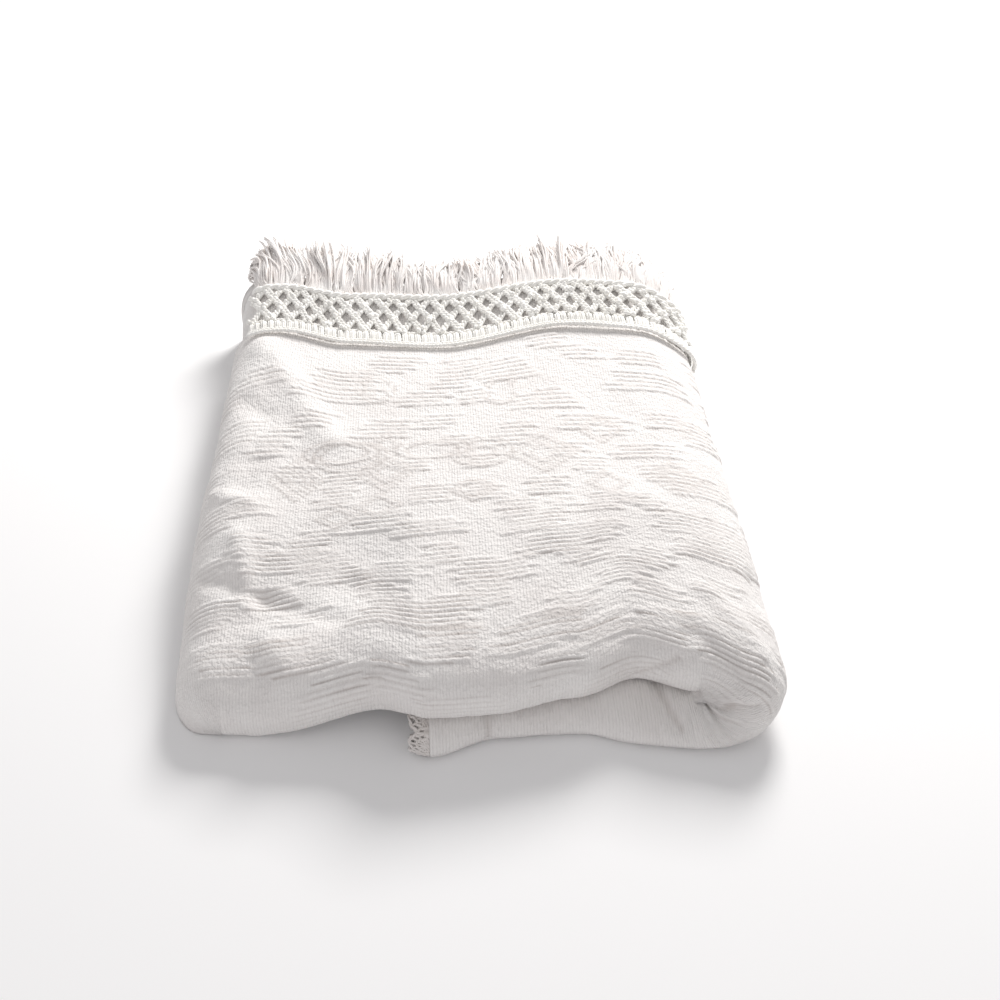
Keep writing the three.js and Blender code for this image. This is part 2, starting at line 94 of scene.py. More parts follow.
def unit(vectors):
    return vectors / np.maximum(np.linalg.norm(vectors, axis=-1, keepdims=True), tiny)


def readTable(rows, x, column):
    place = np.clip(np.searchsorted(rows[:, 0], x, side="right") - 1, 0, len(rows) - 2)
    low, high = rows[place], rows[place + 1]
    return mix(low[..., column], high[..., column], smooth(x, low[..., 0], high[..., 0]))


def settle(x, y, z, underShare):
    # sinks the front left, swells the top softly and bends front, seam and left side in plan
    across = np.clip((sink["fromX"] - x) / (sink["fromX"] - sink["toX"]), 0, 1)
    along = np.clip((sink["noneY"] - y) / (sink["noneY"] - sink["fullY"]), 0, 1)
    base = mix(seat, sink["lowest"], across * along)
    rise = sum(r * np.exp(-((x - cx) / rx) ** 2 - ((y - cy) / ry) ** 2) for cx, cy, rx, ry, r in swells)
    height = np.where(z > seat, base + (z - seat) * (1 + rise / pack["upperDepth"]), z * base / seat)
    front = mix(readTable(frontLine, x, 1), readTable(frontLine, x, 2), underShare)
    front = front * (1 - smooth(y, *pack["frontFade"]))
    seam = readTable(seamLine, x, 1) * smooth(y, *pack["seamFade"])
    away = (y - leftSwell["y"]) / leftSwell["reachY"]
    out = smooth(-x, -leftSwell["fromX"], halfWidth) * np.exp(-away ** 2)
    return np.stack([x - leftSwell["out"] * out, y + front + seam, height], -1)


def turnShare(zone, place):
    # 0 for the upper part, 1 for the part turned under
    return np.where(zone == turn, smooth(place, 0, 180), np.where(zone > turn, 1.0, 0.0))


def columnPoint(zone, place, y, level, out, past=0.0):
    # a point at a zone and a place in it, at a level above the seat and a distance off the cloth's middle
    zone, place, y, level, out = np.broadcast_arrays(zone, np.asarray(place, float), y, level, out)
    angle = np.radians(place)
    bend, loop = pack["shoulderGap"] + level + out, pack["creaseGap"] / 2 + level
    sideEdge = mix(pack["edgeFront"], pack["edgeRear"], smooth(y, pack["edgeFrom"], pack["edgeTo"]))
    zones = [zone == kind for kind in (wall, shoulder, upper, turn, under)]
    x = np.select(zones, [
        shoulderX - bend, shoulderX - bend * np.sin(angle), place,
        turnX + (pack["turnStretch"] * loop + out) * np.sin(angle), place,
    ], mix(pack["underStart"], sideEdge, place)) - past
    z = np.select(zones[:4], [
        (seat - pack["shoulderGap"]) * place, seat - pack["shoulderGap"] + bend * np.cos(angle),
        seat + level + out, seat - pack["creaseGap"] / 2 + (loop + out) * np.cos(angle),
    ], seat - pack["creaseGap"] - level - out)
    return settle(x, y, z, turnShare(zone, place))


def pathPoint(kind, start, end, place, fold):
    # where the folded path is at a station, and which way its outer face looks
    depth, outer, inner, foremost, insideY = fold
    pitch = (depth - pack["thick"]) / topLevel
    low, high = halfCloth + start * pitch, halfCloth + end * pitch
    middle, radius = (low + high) / 2, np.abs(high - low) / 2
    sine, cosine = np.maximum(np.sin(place), 0), np.cos(place)
    forward = sine ** pack["flatness"]
    front = mix(high, low, foremost)
    above = cosine > 0
    reach = np.maximum(np.where(above, low - front, front - high), tiny)
    bulge = np.where(above, outer, inner)
    length = np.maximum(np.hypot(forward / bulge, cosine / reach), tiny)
    facesUp = np.where((start == topLevel) | (start % 2 == 1), 1.0, -1.0)
    around = middle - radius * cosine
    kinds = [kind == run, kind == bigFold, kind == rearFold]
    y = np.select(kinds, [
        place, bulge * (1 - forward), pack["rearFoldY"] - radius * (1 - sine),
    ], insideY - radius * sine)
    level = np.select(kinds, [low, front + reach * cosine, around], around)
    normalY = np.select(kinds, [0.0, -forward / bulge / length, sine], sine)
    normalUp = np.select(kinds, [facesUp, cosine / reach / length, -cosine], cosine)
    return y, level, normalY, normalUp


def addObject(name, points, faces, material, node):
    mesh = bpy.data.meshes.new(name)
    points = np.maximum(points, (-np.inf, -np.inf, 0))  # nothing goes under the surface it lies on
    mesh.from_pydata((points + np.array(pack["shift"])) * metres, [], faces)
    mesh.polygons.foreach_set("use_smooth", np.ones(len(mesh.polygons), bool))
    mesh.update()
    piece = bpy.data.objects.new(name, mesh)
    bpy.context.scene.collection.objects.link(piece)
    mesh.materials.append(material)
    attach(piece, "root")
    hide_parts(node)
    print(f"{name}: {len(mesh.vertices)} points, {len(mesh.polygons)} faces")
    return piece


# What a user would change of the cloth: sizes in millimetres, angles in degrees, flat size in metres
cloth = {
    "flat": (0.7, 2.5),
    # mesh: spacing where it shows, counts of steps, rows of the layers inside, thinning where it is hidden
    "rowStep": 0.92, "columnStep": 2.6, "foldSteps": 88,
    "wallSteps": 6, "shoulderSteps": 18, "turnSteps": 36, "fineTurn": 120, "coarseTurn": (123.5, 176.5, 16),
    "underSteps": 47, "edgeSteps": 5,
    "innerFrom": 50, "innerShort": 10, "innerRows": 13, "innerFoldRows": 7,
    "freeRows": (368, 390, 402, 415, 426), "middleY": 200,
    "farFrom": 64, "farStep": 12, "sideThin": 2, "topThin": 6,
    # hems, the front left corner rounded back in plan, and the free end raised to carry the trim
    "hem": 6, "hemShares": (0.3, 0.9), "tucked": 0.12, "cornerRound": 4,
    "endLift": ((310, 345, 368, 390, 415, 438), (0, 3, 6, 9.6, 15, 17)), "liftShares": (0.42, 0.98, 0.85),
    # thick ribs: spacing at the front and the back, what makes them uneven, and how sharp the painted shade
    # in their grooves is
    "ribPitch": (3.9, 5.3), "ribPitchAt": (60, 310), "chartPitch": 5.6, "ribHeight": 1.0, "ribGrow": (3, 2),
    "ribRagged": 4, "ribEndTurns": (2.4, 3.1), "ribTip": 2.2, "ribRound": 0.55, "grooveShadeSharp": 1.5,
    "ribWaver": (0.5, 26), "frontPull": (0.75, -10, 16), "leftPull": (0.4, 140, 180),
    # thin ridges with painted shade beside them, puckers between them and slack of the whole cloth
    "ridgeWidth": 1.4, "ridgeHeight": 0.8, "ridgeShare": 0.5, "ridgeShade": (0.6, 1.7, 0.7),
    "pucker": 0.42, "puckerNoise": ((0.6, 7), (0.4, 4)), "slack": 0.6, "slackSize": 38,
    "seeds": (5, 11, 12, 13),
    # narrow creases with a line of painted shade, the rounding of the pouch, and where the relief fades out
    "creaseShade": (4, 0.42, 1.3),
    "easeTurn": (100, 140), "easeUnder": (84, 110), "easeShare": 0.5, "easeRounds": 60,
    "calmRows": (60, 84), "calmTurn": (95, 120),
    # fine weave of the material
    "cordPitch": 2.0, "stitchPitch": 2.8,
}
# Patches of thick ribs, charted: left, right, front, back, lean and taper for each rib
ribPatches = [
    (-116, -64, 300, 323, 0, 2), (-132, -68, 283, 300, 3, 1), (-74, -42, 324, 347, 3, -1),
    (-26, 4, 302, 319, 4, 0), (-52, -14, 280, 298, 2, 1), (-80, -44, 240, 263, 2, 1),
    (-104, -82, 164, 200, 1, 0), (-80, -48, 136, 154, 2, 0), (-122, -100, 124, 141, 4, 0),
    (-148, -96, 105, 122, 0, 1), (-108, -66, 91, 119, -3, 2), (-74, -36, 86, 103, 3, 0),
    (-50, -8, 127, 138, 0, 0), (-28, -10, 100, 117, 0, 0), (-142, -110, 76, 93, -3, 1),
    (-84, -38, 42, 64, 6, 0), (-36, -4, 46, 68, 2, 0), (-4, 22, 60, 82, 0, 0),
    (-128, -82, 20, 43, -5, 1), (-168, -138, 22, 45, -3, 0), (-36, -6, 20, 42, 2, 0),
    (18, 60, 304, 333, -2, 1), (62, 86, 337, 354, -2, 0), (88, 112, 320, 337, -4, 0),
    (112, 174, 283, 306, 1, 2), (0, 18, 280, 297, 0, 0), (40, 57, 264, 281, 0, 0),
    (60, 91, 263, 286, -2, 2), (100, 121, 231, 254, 0, 0), (140, 163, 239, 256, 0, 0),
    (166, 188, 222, 250, 0, 0), (106, 149, 203, 220, 3, 0), (0, 20, 197, 214, 0, 0),
    (22, 42, 222, 245, 2, 0), (80, 98, 184, 201, 0, 0), (44, 67, 162, 179, 0, 0),
    (150, 196, 160, 183, -6, 0), (72, 99, 137, 160, 4, 0), (48, 64, 134, 157, 2, 1),
    (26, 62, 121, 132, 0, 2), (30, 77, 98, 121, 5, -1), (80, 95, 103, 125, 0, 0),
    (117, 137, 139, 156, -5, 0), (124, 192, 117, 139, 0, 2), (130, 190, 94, 116, 4, 0),
    (108, 128, 78, 95, 0, 0), (18, 37, 80, 97, 0, 0), (76, 105, 58, 81, 4, 0), (68, 90, 83, 100, -6, 0),
    (100, 134, 44, 61, 0, 3), (44, 71, 43, 60, 3, 0), (4, 52, 22, 44, 6, 0), (148, 178, 41, 58, 5, 0),
    (144, 200, 2, 36, -5, 1), (136, 156, 60, 77, 6, 0), (64, 100, 18, 35, -3, 1),
    (-120, -70, -20, 2, 3, 1), (-30, 20, -20, -4, -3, 1), (56, 112, -22, -4, 3, 2),
    (-196, -160, 60, 83, 3, 0), (-204, -168, 104, 121, 3, 0), (-200, -164, 150, 173, 3, 0),
    (-206, -172, 190, 213, -2, 0), (-196, -160, 234, 262, 3, 0), (-204, -176, 280, 303, 2, 0),
    (-134, -112, 196, 213, 0, 0), (-158, -134, 222, 245, 3, 0), (-160, -140, 160, 177, -2, 0),
    (-36, -12, 250, 267, 3, 0), (-18, 8, 228, 241, 0, 1), (-40, -14, 160, 177, 2, 0),
    (4, 26, 160, 177, -2, 0), (-12, 14, 324, 341, 0, 1), (-46, -28, 198, 215, 0, 0),
    (60, 84, 206, 223, 2, 0), (128, 150, 174, 191, -2, 0), (70, 96, 238, 255, 2, 0),
    (-128, -104, 250, 267, 3, 0), (-166, -140, 296, 313, -2, 0), (124, 160, 316, 333, 0, 2),
    (-10, 16, 84, 101, 0, 0), (-66, -42, 66, 83, -2, 0), (-126, -98, 56, 69, 2, 0),
    (-158, -130, 120, 137, 0, 1), (22, 44, 138, 155, 0, 0), (-100, -72, 4, 17, 2, 0),
    (-60, -30, -2, 14, -2, 1), (34, 60, 0, 16, 2, 0), (96, 130, 12, 34, 2, 1),
    (150, 196, -28, -6, -3, 1), (196, 240, 30, 58, -3, 1), (206, 250, 76, 99, 3, 0),
    (200, 244, 120, 148, -2, 1), (204, 250, 176, 204, 3, 1), (196, 236, 226, 248, 2, 0),
    (200, 244, 270, 298, -2, 1), (190, 240, 314, 342, -2, 1),
]
# Outlines woven as thin ridges: kind, middle across, middle along, half size across and along
outlines = [
    ("diamond", -57, 198, 18, 21), ("diamond", -57, 198, 10, 11), ("oval", -83, 218, 24, 15),
    ("diamond", -62, 160, 14, 12), ("diamond", -57, 232, 9, 9), ("oval", -90, 222, 23, 10),
    ("oval", -24, 222, 23, 10), ("oval", 12, 214, 20, 16), ("oval", 12, 214, 11, 8),
    ("diamond", 56, 210, 24, 22), ("diamond", 56, 210, 13, 12), ("diamond", 100, 236, 14, 14),
    ("oval", 30, 290, 12, 16), ("oval", -66, 300, 12, 16), ("diamond", -120, 196, 18, 20),
    ("diamond", -120, 196, 9, 10), ("diamond", 146, 178, 18, 20), ("diamond", 146, 178, 9, 10),
    ("diamond", -90, 152, 12, 10), ("diamond", 4, 170, 14, 12), ("diamond", 98, 172, 13, 12),
]
# Soft ridges and troughs of the lying cloth, placed one by one: ends across and along, half width, height
creases = [
    (-161, 345, -99, 238, 13, 3.5), (-155, 215, -158, 195, 11, -3), (-155, 140, -144, 83, 8, 3),
    (-175, 107, -136, 83, 7, -3), (-136, 83, -88, 54, 8, -2.6), (-132, 50, -114, 20, 11, 3),
    (187, 92, 187, 76, 8, -3), (-82, 84, -64, 74, 17, -2.5), (-170, 282, -150, 262, 9, -2.5),
    (-180, 190, -150, 172, 6, 2), (120, 150, 60, 118, 26, 2), (40, 250, 110, 300, 30, 2),
    (-60, 20, -20, 6, 14, 1.6), (20, 30, 90, 20, 16, -1.8), (150, 60, 176, 30, 9, 2),
    (130, 24, 168, 4, 7, -1.6), (293, -25, 279, -17, 3.5, -1.8), (238, -26, 213, -14, 3.5, -1.8),
    (262, -34, 240, -20, 5, 1.2), (215, -22, 187, -12, 3.5, -1.8), (187, -12, 194, -3, 3.5, -1.4),
    (99, -16, 112, -5, 3.5, -2), (112, -5, 123, 5, 3.5, -1.6), (160, -30, 178, -8, 7, 1.5),
    (398, -30, 399, -8, 3.5, -1.8), (158, -25, 212, -22, 10, 7), (250, -27, 226, -23, 9, 2),
]


def clothPoint(zone, place, station, offset, lift):
    share = turnShare(zone, place)
    fold = [mix(a, b, share) for a, b in zip(upperFold, underFold)]
    y, level, normalY, normalUp = pathPoint(*station, fold)
    corner = np.select([zone == wall, zone == shoulder], [1.0, 1 - np.cos(np.radians(place))], 0.0)
    y = y + cloth["cornerRound"] * corner * np.where(station[0] == bigFold, np.sin(station[3]), 0)
    return columnPoint(zone, place, y + offset * normalY, level + lift, offset * normalUp)


def parts(low, high, count):
    return np.linspace(low, high, count + 1)[:-1]  # the last one belongs to the next zone


def clothColumns():
    # zone, place in it and how far the point is turned to the inner face, from the left hem to the right one
    tucked, (wallHem, edgeHem) = cloth["tucked"], cloth["hemShares"]
    columns = [(wall, wallHem, tucked), (wall, 0, 1)]
    columns += [(wall, share, 0) for share in parts(0, 1, cloth["wallSteps"])]
    columns += [(shoulder, angle, 0) for angle in parts(90, 0, cloth["shoulderSteps"])]
    count = round((turnX - shoulderX) / cloth["columnStep"])
    columns += [(upper, x, 0) for x in parts(shoulderX, turnX, count)]
    columns += [(turn, angle, 0) for angle in np.linspace(0, cloth["fineTurn"], cloth["turnSteps"] + 1)]
    dense = len(columns)
    columns += [(turn, angle, 0) for angle in np.linspace(*cloth["coarseTurn"])]
    columns += [(under, x, 0) for x in parts(turnX, pack["underStart"], cloth["underSteps"])]
    columns += [(edge, share, 0) for share in np.linspace(0, 1, cloth["edgeSteps"] + 1)]
    columns += [(edge, 1, 1), (edge, edgeHem, tucked)]
    return np.array(columns, float), dense


def clothStations():
    # kind, level from, level to, place and how far the point is turned to the inner face, from the seam on
    last, fold = pack["seamY"] + pack["underTrim"], upperFold[1]
    top = np.linspace(last, fold, round((last - fold) / cloth["rowStep"]))
    rows = [(run, topLevel, topLevel, last, 1)] + [(run, topLevel, topLevel, y, 0) for y in top]
    angles = np.linspace(0, np.pi, cloth["foldSteps"] + 1)[1:]
    rows += [(bigFold, topLevel, 0, angle, 0) for angle in angles]
    dense = len(rows)
    places = list(np.linspace(cloth["innerFrom"], pack["seamY"] - cloth["innerShort"], cloth["innerRows"]))
    angles = np.linspace(0, np.pi, cloth["innerFoldRows"])
    for level in range(topLevel - 1):
        goesBack = level % 2 == 0
        rows += [(run, level, level, y, 0) for y in (places if goesBack else places[::-1])]
        kind = rearFold if goesBack else frontFold
        rows += [(kind, level, level + 1, angle, 0) for angle in angles]
    level, end = topLevel - 1, pack["freeEndY"]
    rows += [(run, level, level, y, 0) for y in [*places, *cloth["freeRows"], end]]
    rows += [(run, level, level, end, 1), (run, level, level, end - cloth["hem"], cloth["tucked"])]
    return np.array(rows, float), dense


def zipRows(low, high, lowPlace, highPlace, flip):
    # triangles between two lines of points that have different spacing
    faces, i, j = [], 0, 0
    while i < len(low) - 1 or j < len(high) - 1:
        if j == len(high) - 1 or (i < len(low) - 1 and lowPlace[i + 1] <= highPlace[j + 1]):
            faces.append((low[i], low[i + 1], high[j]))
            i += 1
        else:
            faces.append((low[i], high[j + 1], high[j]))
            j += 1
    return [face[::-1] for face in faces] if flip else faces


def gridFaces(grid):
    a, b, c, d = grid[:-1, :-1], grid[1:, :-1], grid[1:, 1:], grid[:-1, 1:]
    return np.stack([a, b, c, d], -1).reshape(-1, 4).tolist()


def softNoise(across, along, size, seed):
    # smooth deterministic unevenness between -1 and 1, of about a given size
    cells = 64
    x, y = across / size, along / size
    table = np.random.default_rng(seed).uniform(-1, 1, (cells, cells))
    column, row = np.floor(x).astype(int), np.floor(y).astype(int)
    shareX, shareY = smooth(x - column, 0, 1), smooth(y - row, 0, 1)
    left, right, front, back = column % cells, (column + 1) % cells, row % cells, (row + 1) % cells
    low = mix(table[front, left], table[front, right], shareX)
    high = mix(table[back, left], table[back, right], shareX)
    return mix(low, high, shareY)


def ribRelief(across, along):
    # height of ribs and ridges above the ground weave, the share of rib in it, and painted shade in the
    # grooves beside them
    rib, ridge, paintedShade = np.zeros(across.shape), np.zeros(across.shape), np.zeros(across.shape)
    waverSeed, coarseSeed, fineSeed, slackSeed = cloth["seeds"]
    waver, waverSize = cloth["ribWaver"]
    wavy = along + waver * softNoise(across, along, waverSize, waverSeed)
    growX, growY = cloth["ribGrow"]
    ragged, (startTurn, endTurn), tip = cloth["ribRagged"], cloth["ribEndTurns"], cloth["ribTip"]
    for left, right, front, back, lean, taper in ribPatches:
        pitch = mix(*cloth["ribPitch"], smooth(front, *cloth["ribPitchAt"]))
        lean, taper = lean * pitch / cloth["chartPitch"], taper * pitch / cloth["chartPitch"]
        left, right, front, back = left - growX, right + growX, front - growY, back + growY
        count = np.floor((wavy - front) / pitch)
        inside = (wavy >= front) & (wavy <= front + pitch * round((back - front) / pitch))
        start = left + (lean + taper) * count + ragged * np.sin(count * startTurn + left)
        end = right + (lean - taper) * count + ragged * np.sin(count * endTurn + right)
        ends = np.clip((across - start) / tip, 0, 1) * np.clip((end - across) / tip, 0, 1)
        wave = np.abs(np.sin(np.pi * (wavy - front) / pitch)) ** cloth["ribRound"]
        rib = np.maximum(rib, np.where(inside, np.sqrt(ends) * wave, 0))
        # painted shade in the grooves between the ribs
        paintedShade = np.maximum(paintedShade, np.where(inside, ends * (1 - wave) ** cloth["grooveShadeSharp"], 0))
    # pulled flat over the front fold and the left shoulder
    (frontLoss, *frontAt), (leftLoss, *leftAt) = cloth["frontPull"], cloth["leftPull"]
    pulled = (1 - frontLoss * smooth(-along, *frontAt)) * (1 - leftLoss * smooth(-across, *leftAt))
    rib, paintedShade = rib * pulled, paintedShade * pulled
    shadeShare, shadeGap, shadeWidth = cloth["ridgeShade"]
    for kind, x, y, halfX, halfY in outlines:
        dx, dy = np.abs(across - x) / halfX, np.abs(along - y) / halfY
        reach = dx + dy if kind == "diamond" else np.hypot(dx, dy)
        slant = 1.41 if kind == "diamond" else 1  # a diamond's sides lie aslant
        gap = (reach - 1) * min(halfX, halfY) / slant
        ridge = np.maximum(ridge, np.exp(-(gap / cloth["ridgeWidth"]) ** 2))
        # painted shade along both sides of the ridge
        paintedShade = np.maximum(paintedShade, shadeShare * np.exp(-((np.abs(gap) - shadeGap) / shadeWidth) ** 2))
    (coarse, coarseSize), (fine, fineSize) = cloth["puckerNoise"]
    pucker = coarse * softNoise(across, along, coarseSize, coarseSeed)
    pucker = pucker + fine * softNoise(across, along, fineSize, fineSeed)
    ground = cloth["ridgeHeight"] * ridge + cloth["pucker"] * pucker
    height = cloth["ribHeight"] * rib + (1 - rib) * ground
    height = height + cloth["slack"] * softNoise(across, along, cloth["slackSize"], slackSeed)
    return height, np.maximum(rib, cloth["ridgeShare"] * ridge), paintedShade


def creaseRelief(across, along):
    # height of the creases, and a line of painted shade along the narrow ones
    total, line = np.zeros(across.shape), np.zeros(across.shape)
    narrow, lineShadeShare, lineShadeWidth = cloth["creaseShade"]
    for x0, y0, x1, y1, reach, height in creases:
        dx, dy = x1 - x0, y1 - y0
        share = np.clip(((across - x0) * dx + (along - y0) * dy) / (dx * dx + dy * dy), 0, 1)
        gap = np.hypot(across - x0 - share * dx, along - y0 - share * dy)
        total = total + height * np.exp(-(gap / reach) ** 2)
        # narrow creases get a line of painted shade
        if reach < narrow:
            line = np.maximum(line, lineShadeShare * np.exp(-(gap / lineShadeWidth) ** 2))
    return total, line


def eased(points, columns):
    # rounds the pouch off where the turned part meets the part lying under
    zone, place = columns[:, 0], columns[:, 1]
    window = np.select([zone == turn, zone == under], [
        smooth(place, *cloth["easeTurn"]), smooth(place, *cloth["easeUnder"]),
    ], 0)
    share = cloth["easeShare"] * window[None, 1:-1, None]
    for _ in range(cloth["easeRounds"]):
        points[:, 1:-1] = mix(points[:, 1:-1], (points[:, :-2] + points[:, 2:]) / 2, share)
    return points


def endLift(columns, rows):
    # how far the free end is raised, by row and by zone
    zone, angle = columns[:, 0], np.radians(columns[:, 1])
    atWall, atTop, atTurn = cloth["liftShares"]
    crown = np.select([zone == wall, zone == shoulder, zone == upper, zone == turn], [
        atWall, mix(atWall, atTop, np.cos(angle) ** 2), atTop, atTurn * np.maximum(np.cos(angle), 0),
    ], 0.0)
    free = (rows[:, 0] == run) & (rows[:, 1] == topLevel - 1)
    return np.where(free, np.interp(rows[:, 3], *cloth["endLift"]), 0)[:, None] * crown


def runningLength(points):
    steps = np.linalg.norm(np.diff(points, axis=-2), axis=-1)
    return np.concatenate([np.zeros((*steps.shape[:-1], 1)), np.cumsum(steps, axis=-1)], -1)


def flatPlaces(points, columns, rows, denseRows):
    # place of each point on the flat sheet: across from the middle of the top, and along from the seam
    middleRow = int(np.argmin(np.abs(rows[:denseRows, 3] - cloth["middleY"])))
    top = np.flatnonzero(columns[:, 0] == upper)
    middleColumn = int(top[np.argmin(np.abs(columns[top, 1]))])
    across = runningLength(points[middleRow])
    across = np.tile(across - across[middleColumn], (len(rows), 1))
    first = int(np.flatnonzero(columns[:, 0] == edge)[0])
    across[:, first:] = across[:, first:first + 1] + runningLength(points[:, first:])
    start = pack["seamY"] + pack["underTrim"] + pack["thick"]
    along = start - runningLength(points[:, middleColumn])
    return np.broadcast_arrays(across, along[:, None])


def clothFaces(columns, rows, denseColumns, denseRows):
    # all points where the cloth shows, fewer on the part turned under and in the layers inside
    columnCount = len(columns)
    index = np.arange(len(rows) * columnCount).reshape(len(rows), columnCount)
    seam, last = denseColumns - 1, denseRows - 1
    faces = gridFaces(index[:denseRows, :denseColumns])
    far = np.flatnonzero(rows[:denseRows, 0] == run)
    far = far[rows[far, 3] > cloth["farFrom"]]
    nearRows = np.concatenate([far[::cloth["farStep"]], np.arange(far[-1] + 1, denseRows)])
    faces += gridFaces(index[nearRows][:, denseColumns:])
    faces += zipRows(index[:denseRows, seam], index[nearRows, denseColumns],
                     np.arange(denseRows), nearRows, False)
    leftHem, rightHem = 3, columnCount - 4  # the columns outside these are all kept
    topStart = int(np.flatnonzero(columns[:, 0] == upper)[0])
    kept = np.unique(np.concatenate([
        np.arange(leftHem), np.arange(leftHem, topStart, cloth["sideThin"]),
        np.arange(topStart, denseColumns, cloth["topThin"]), [seam],
        np.arange(denseColumns, rightHem, cloth["sideThin"]), np.arange(rightHem, columnCount),
    ]))
    faces += zipRows(index[last], index[last + 1, kept], np.arange(columnCount), kept, True)
    return faces + gridFaces(index[last + 1:][:, kept])


def clothMesh():
    columns, denseColumns = clothColumns()
    rows, denseRows = clothStations()
    zone, place = columns[:, 0][None, :], columns[:, 1][None, :]
    station = tuple(rows[:, k][:, None] for k in range(4))
    hem = np.maximum(columns[:, 2][None, :], rows[:, 4][:, None])
    points = clothPoint(zone, place, station, halfCloth * (1 - 2 * hem), endLift(columns, rows))
    across, along = flatPlaces(points, columns, rows, denseRows)
    relief, rib, paintedShade = ribRelief(across, along)
    fold, line = creaseRelief(across, along)
    points = eased(points, columns)
    normal = unit(np.cross(np.gradient(points, axis=0), np.gradient(points, axis=1)))
    # the painted shade of the grooves and of the crease lines is joined into one mask
    relief, paintedShade = np.where(hem > 0, 0, relief + fold), np.maximum(paintedShade, line)
    relief[denseRows:] = 0
    lying = np.where(rows[:, 0] == run, smooth(rows[:, 3], *cloth["calmRows"]), 0)[:, None]
    turned = np.where(zone == turn, smooth(place, *cloth["calmTurn"]), zone > turn)
    points = points + normal * (relief * (1 - lying * turned))[..., None]
    faces = clothFaces(columns, rows, denseColumns, denseRows)
    # only the points that a face uses are kept
    used, faceIndex = np.unique(np.concatenate([np.ravel(face) for face in faces]), return_inverse=True)
    sizes = np.cumsum([len(face) for face in faces])[:-1]
    faces = [part.tolist() for part in np.split(faceIndex, sizes)]
    flat = np.stack([across, along], -1).reshape(-1, 2)[used]
    return points.reshape(-1, 3)[used], faces, flat, rib.reshape(-1)[used], paintedShade.reshape(-1)[used]


# What a user would change of the finishes: linear colours, roughness, sheen, scales of noise, shares of bump
# and darkening (painted shade in grooves, creases and between cords, and darker where the grain is low), and
# depths of bump in metres
finish = {
    "cloth": {
        # low and high are the cloth's own tones; the third colour is painted shade for grooves and creases
        "low": (0.86, 0.83, 0.81), "high": (0.91, 0.89, 0.87), "paintedShade": (0.52, 0.47, 0.44),
        "rough": 0.9, "sheen": 0.25, "toneScale": 26,
        "cordWander": 0.9, "wanderScale": 150, "cordRound": 0.7, "cordShare": 0.6, "stitchShare": 0.12,
        "ribCover": 0.8, "grainScale": 330, "grainFrom": (0.38, 0.64), "grainTo": (0.15, 1.0),
        # the first and last shares here paint shade between the cords and in the grooves; the middle one
        # darkens where the grain is low
        "cordShadeShare": 0.22, "grainDark": 0.1, "grooveShadeShare": 0.9,
        "cordDepth": 0.0007, "cordBump": 0.7, "fibreScale": 1500, "fibreDetail": 2, "fibreBump": 0.6,
    },
    "trim": {"low": (0.94, 0.925, 0.885), "high": (0.98, 0.97, 0.94), "rough": 0.88, "sheen": 0.2},
    "fringe": {"low": (0.9, 0.85, 0.82), "high": (0.96, 0.935, 0.915), "rough": 0.92, "sheen": 0.3},
    # the side trim's yarn is painted darker than the trim's for the shade it lies in
    "side": {"low": (0.74, 0.7, 0.67), "high": (0.82, 0.785, 0.76), "rough": 0.9, "sheen": 0.2},
    "yarn": {"toneScale": 60, "fibreScale": 1400, "fibreDetail": 3, "fibreBump": 0.8},
    "fibreDepth": 0.0002, "sheenRough": 0.5, "specular": 0.2, "toneRange": (0.35, 0.65),
}


def newMaterial(name, look):
    material = bpy.data.materials.new(name)
    material.use_nodes = True
    shader = material.node_tree.nodes["Principled BSDF"]
    shader.inputs["Base Color"].default_value = (*look["high"], 1)
    shader.inputs["Roughness"].default_value = look["rough"]
    shader.inputs["Sheen Weight"].default_value = look["sheen"]
    shader.inputs["Sheen Roughness"].default_value = finish["sheenRough"]
    shader.inputs["Specular IOR Level"].default_value = finish["specular"]
    return material, material.node_tree, shader


def addNode(tree, kind, sockets=(), **values):
    node = tree.nodes.new(kind)
    for name, value in values.items():
        setattr(node, name, value)
    for socket, source in dict(sockets).items():
        if isinstance(source, bpy.types.NodeSocket):
            tree.links.new(source, node.inputs[socket])
        else:
            node.inputs[socket].default_value = source
    return node


def addNoise(tree, place, scale, detail):
    node = addNode(tree, "ShaderNodeTexNoise", {"Vector": place, "Scale": scale, "Detail": detail})
    return node.outputs["Fac"]


def addBump(tree, height, depth, strength, **sockets):
    values = {"Height": height, "Distance": depth, "Strength": strength, **sockets}
    return addNode(tree, "ShaderNodeBump", values).outputs["Normal"]


def washedTone(tree, place, look, scale):
    # slow change of tone, as in washed cotton
    ramp = addNode(tree, "ShaderNodeValToRGB", {"Fac": addNoise(tree, place, scale, 3)})
    ends = zip(ramp.color_ramp.elements, finish["toneRange"], (look["low"], look["high"]))
    for element, position, colour in ends:
        element.position, element.color = position, (*colour, 1)
    return ramp.outputs["Color"]


